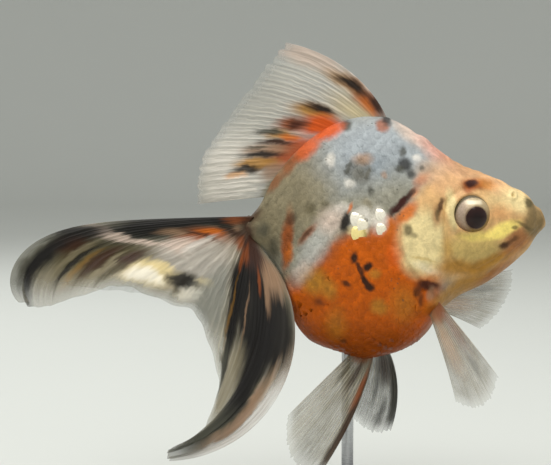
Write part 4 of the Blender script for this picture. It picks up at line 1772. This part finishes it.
@dataclass(frozen=True)
class EyeFinish(Finish):
    """A dark pupil in a ring of gold, silver and olive, under a clear wet cornea."""

    name: str = "fish_eye"
    roughness: float = 0.3
    specular: float = 0.15
    coat: float = 0.35
    coat_roughness: float = 0.06

    def build(self, side: str, centre: Vector, gaze: Vector, pupil: float) -> bpy.types.Material:
        """The material of one eye.

        Args:
            side: The eye's side, for the material's name.
            centre: The eyeball's centre, in metres.
            gaze: The direction it looks in.
            pupil: The pupil's reach as an angle, in radians.

        Returns:
            The material.
        """
        material, graph, shader = self.start()
        material.name = f"{self.name}_{side}"
        metres = graph.metres()
        radial = graph.vector("NORMALIZE", graph.vector("SUBTRACT", metres, tuple(centre)))
        angle = graph.math("ARCCOSINE", graph.vector("DOT_PRODUCT", radial, tuple(gaze)))
        x, _, z = graph.parts(radial)
        streaks = graph.noise(radial, 9.0, 4.0, 0.65)
        uneven = graph.plus(angle, graph.times(graph.less(streaks, 0.5), 0.09))
        high = graph.step(z, -0.3, 0.75)
        behind = graph.step(x, 0.15, -0.6)
        iris = graph.mix(high, tone(136, 108, 58), tone(190, 170, 134))
        iris = graph.mix(graph.times(behind, 0.85), iris, tone(184, 164, 150))
        iris = graph.mix(graph.step(streaks, 0.35, 0.65, 0.0, 0.3), iris, tone(120, 104, 76))
        ring = graph.step(uneven, pupil + 0.1, pupil + 0.02, 0.0, 0.6)
        iris = graph.mix(ring, iris, tone(86, 60, 44))
        rim = graph.step(uneven, pupil + 0.5, pupil + 0.66)
        iris = graph.mix(rim, iris, tone(96, 88, 68))
        arc = graph.times(graph.step(z, 0.5, 0.62), graph.step(z, 0.8, 0.7))
        level = graph.times(graph.step(x, -0.4, -0.1), graph.step(x, 0.6, 0.4))
        iris = graph.mix(graph.times(graph.times(arc, level), 0.75), iris, tone(238, 226, 196))
        dark = graph.mix(graph.step(angle, 0.0, pupil), tone(24, 9, 7), tone(40, 16, 10))
        hole = graph.step(uneven, pupil + 0.03, pupil - 0.03)
        graph.put(shader.inputs["Base Color"], graph.mix(hole, iris, dark))
        graph.put(shader.inputs["Metallic"], graph.times(graph.less(1.0, hole), 0.15))
        graph.put(shader.inputs["Roughness"], graph.blend(hole, 0.45, 0.3))
        return material


@dataclass
class Eye:
    """One eyeball with a domed cornea, seated in its socket."""

    side: str
    gaze: tuple[float, float, float]
    pupil: float = math.radians(31.5)
    socket_gap: float = 0.06
    dome: tuple[float, float, float] = (0.22, 0.0, 0.55)
    dome_edge: tuple[float, float, float] = (-0.05, 0.9, 0.1)

    def build(self) -> bpy.types.Object:
        """The eye as a piece that stands for its CAD node."""
        node = f"eye_{self.side}"
        low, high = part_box(node)
        centre = (low + high) / 2
        radius = (high.z - low.z) / 2 / MM
        angle = np.radians(np.concatenate([np.linspace(0, 70, 40), np.linspace(75, 180, 16)]))[::-1]
        reach = radius - self.socket_gap + ridge(angle, *self.dome) + ridge(angle, *self.dome_edge)
        profile = [(float(r * math.sin(a)), float(r * math.cos(a))) for a, r in zip(angle, reach)]
        profile[0] = (0.0, profile[0][1])
        profile[-1] = (0.0, profile[-1][1])
        mesh = lathe(profile, 72, f"eyeball_{self.side}")
        gaze = Vector(self.gaze).normalized()
        mesh.transform(Matrix.Translation(centre) @ gaze.to_track_quat("Z", "Y").to_matrix().to_4x4())
        piece = place(mesh, EyeFinish().build(self.side, centre, gaze, self.pupil))
        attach(piece, BODY)
        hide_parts(node)
        return piece


# ---- stand ------------------------------------------------------------------------------------------------


@dataclass(frozen=True)
class SteelFinish(Finish):
    """Turned steel with fine marks round it."""

    name: str = "stand_steel"
    roughness: float = 0.3

    def build(self) -> bpy.types.Material:
        """The material of the rod."""
        material, graph, shader = self.start()
        metres = graph.metres()
        rings = graph.noise(graph.vector("MULTIPLY", metres, (400.0, 400.0, 9000.0)), 1.0, 3.0, 0.6)
        graph.put(shader.inputs["Base Color"], graph.mix(rings, tone(176, 178, 180), tone(208, 209, 210)))
        graph.put(shader.inputs["Roughness"], graph.step(rings, 0.2, 0.8, 0.24, 0.4))
        shader.inputs["Metallic"].default_value = 1.0
        self.bump(graph, shader, rings, 0.00002)
        return material


@dataclass(frozen=True)
class LacquerFinish(Finish):
    """Dark satin lacquer with a faint orange peel and a little dust."""

    name: str = "stand_lacquer"
    roughness: float = 0.32
    coat: float = 0.3
    coat_roughness: float = 0.2

    def build(self) -> bpy.types.Material:
        """The material of the base."""
        material, graph, shader = self.start()
        metres = graph.metres()
        peel = graph.noise(metres, 900.0, 2.0)
        cloud = graph.noise(metres, 40.0, 4.0, 0.6)
        graph.put(shader.inputs["Base Color"], graph.mix(cloud, tone(40, 42, 45), tone(54, 56, 60)))
        graph.put(shader.inputs["Roughness"], graph.step(cloud, 0.3, 0.7, 0.28, 0.38))
        self.bump(graph, shader, peel, 0.00004)
        return material


@dataclass
class Stand:
    """A flat base with rounded corners and one steel rod with a collar."""

    corner: float = 12.0
    edge: float = 1.0
    foot_edge: float = 0.4
    corner_parts: int = 17
    rod_radius: float = 1.5
    collar: tuple[float, float, float] = (4.0, 2.2, 3.0)

    def build(self) -> list[bpy.types.Object]:
        """The base and the rod, as pieces that stand for their CAD nodes."""
        return [self.base(), self.rod()]

    def base(self) -> bpy.types.Object:
        """The base: a rounded plate with filleted edges."""
        low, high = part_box("stand_base")
        half = np.array([high.x - low.x, high.y - low.y]) / 2 / MM
        top = high.z / MM
        quadrant = np.repeat(np.arange(4), self.corner_parts)
        angle = np.radians(90 * quadrant + np.tile(np.linspace(0, 90, self.corner_parts), 4))
        c, s = np.cos(angle), np.sin(angle)
        sign_x = np.where((quadrant == 0) | (quadrant == 3), 1, -1)
        sign_y = np.where(quadrant < 2, 1, -1)
        fillet = [(math.cos(f), math.sin(f)) for f in np.radians(np.linspace(0, 90, 7))]
        levels = [(-self.foot_edge, 0.0)]
        levels += [(-self.foot_edge * (1 - up), self.foot_edge * (1 - out)) for out, up in fillet[1:]]
        levels += [(-self.edge * (1 - out), top - self.edge * (1 - up)) for out, up in fillet]
        levels += [(-self.edge - 1.5, top)]
        rings = []
        for inset, height in levels:
            radius = self.corner + inset
            x = sign_x * (half[0] - self.corner) + radius * c
            y = sign_y * (half[1] - self.corner) + radius * s
            rings.append(np.stack([x, y, np.full_like(x, height)], -1))
        mesh = stacked(np.array(rings), "stand_plate", 0.0, top)
        piece = place(mesh, LacquerFinish().build())
        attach(piece, BODY)
        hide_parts("stand_base")
        return piece

    def rod(self) -> bpy.types.Object:
        """The rod and its collar, turned in one piece."""
        low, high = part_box("stand_rod")
        wide, shoulder, tall = self.collar
        foot, top = low.z / MM, high.z / MM
        r = self.rod_radius
        middle, collar_top = foot + 0.5 * tall, foot + tall
        profile = [
            (0, foot), (wide - 0.2, foot), (wide, foot + 0.2), (wide, middle - 0.2), (wide - 0.15, middle),
            (shoulder + 0.1, collar_top - 0.1), (shoulder - 0.1, collar_top), (r + 0.1, collar_top),
            (r, collar_top + 0.1), (r, 0.5 * (foot + top)), (r, top - 0.3), (r - 0.3, top), (0, top),
        ]
        mesh = lathe(profile, 48, "stand_post")
        mesh.transform(Matrix.Translation(Vector(((low.x + high.x) / 2, (low.y + high.y) / 2, 0))))
        mesh.set_sharp_from_angle(angle=math.radians(35))
        piece = place(mesh, SteelFinish().build())
        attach(piece, BODY)
        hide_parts("stand_rod")
        return piece


# ---- studio -----------------------------------------------------------------------------------------------


@dataclass(frozen=True)
class Lamp:
    """One square soft light that faces the fish."""

    name: str
    at: tuple[float, float, float]
    size: float
    power: float
    tint: tuple[float, float, float] = (1.0, 1.0, 1.0)


@dataclass
class Studio:
    """The camera, lights and a plain seamless floor and backdrop."""

    target: tuple[float, float, float] = (-0.021125, 0.0, 0.069875)
    distance: float = 0.45
    elevation: float = 4.0
    lens: float = 117.6
    ground: Colour = tone(194, 197, 192)
    lamps: Sequence[Lamp] = (
        Lamp("key", (-0.03, -0.24, 0.7), 0.6, 3.3, (1.0, 0.98, 0.95)),
        Lamp("top", (0.02, 0.02, 0.76), 0.6, 1.8),
        Lamp("rim", (-0.3, 0.5, 0.5), 0.5, 1.6),
    )

    def build(self) -> None:
        """Sets up the whole studio."""
        self.camera()
        for lamp in self.lamps:
            self.light(lamp)
        self.backdrop()
        scene = bpy.context.scene
        world = bpy.data.worlds.new("studio")
        world.use_nodes = True
        world.node_tree.nodes["Background"].inputs["Color"].default_value = (1.0, 1.0, 0.98, 1.0)
        world.node_tree.nodes["Background"].inputs["Strength"].default_value = 0.62
        scene.world = world
        scene.view_settings.view_transform = "Standard"
        scene.cycles.transparent_max_bounces = 32

    def camera(self) -> None:
        """The camera: level with the fish's middle and a little above."""
        tilt = math.radians(self.elevation)
        back = Vector((0, -math.cos(tilt), math.sin(tilt)))
        data = bpy.data.cameras.new("camera")
        data.lens, data.sensor_width = self.lens, 36.0
        data.clip_start, data.clip_end = 0.01, 10.0
        camera = bpy.data.objects.new("camera", data)
        camera.location = Vector(self.target) + back * self.distance
        camera.rotation_mode = "QUATERNION"
        camera.rotation_quaternion = (-back).to_track_quat("-Z", "Y")
        bpy.context.scene.collection.objects.link(camera)
        bpy.context.scene.camera = camera

    def light(self, lamp: Lamp) -> None:
        """Adds one lamp, turned to the fish."""
        data = bpy.data.lights.new(lamp.name, "AREA")
        data.shape, data.size = "SQUARE", lamp.size
        data.energy, data.color = lamp.power, lamp.tint
        light = bpy.data.objects.new(lamp.name, data)
        light.location = lamp.at
        way = Vector((0, 0, 0.065)) - Vector(lamp.at)
        light.rotation_mode = "QUATERNION"
        light.rotation_quaternion = way.to_track_quat("-Z", "Y")
        bpy.context.scene.collection.objects.link(light)

    def backdrop(self) -> None:
        """A pale floor that curves up into a wall behind the fish."""
        bend = np.radians(np.linspace(0, 90, 25))
        radius, start, wall, front, wide = 500.0, 1400.0, 2400.0, -2000.0, 3500.0
        curve = [(front, 0.0)] + [(start + radius * math.sin(a), radius * (1 - math.cos(a))) for a in bend]
        curve.append((start + radius, wall))
        rows = np.array([[(x, y, z) for y, z in curve] for x in (-wide, wide)])
        sheet = Sheet()
        numbers = sheet.add_points(rows)
        sheet.add_quads(numbers, rows[..., :2] / wide)
        material, graph, shader = Finish("studio_paper", roughness=0.9).start()
        metres = graph.metres()
        cloud = graph.noise(metres, 6.0, 3.0)
        warm = tuple(c * 1.03 for c in self.ground[:3]) + (1.0,)
        graph.put(shader.inputs["Base Color"], graph.mix(cloud, self.ground, warm))
        place(sheet.mesh("studio_floor", "FloorMap"), material)


# ---- the model --------------------------------------------------------------------------------------------


def main() -> None:
    """Builds the studio and the fish piece by piece."""
    logging.basicConfig(level=logging.INFO, format="%(message)s")
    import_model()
    Studio().build()
    calico = Calico()
    skin = Skin()
    pieces = [skin.build(SkinFinish().build(calico))]
    coat = ScaleFinish().build(calico)
    pieces += [Scales(side, skin).build(coat) for side in (RIGHT, LEFT)]
    pieces += [fin.build() for fin in FINS]
    pieces += [Eye("right", (0.27, -1.0, -0.09)).build(), Eye("left", (0.27, 1.0, -0.09)).build()]
    pieces += Stand().build()
    for piece in pieces:
        LOG.info("%s: %d triangles", piece.name, triangles(piece))


if __name__ == "__main__":
    main()
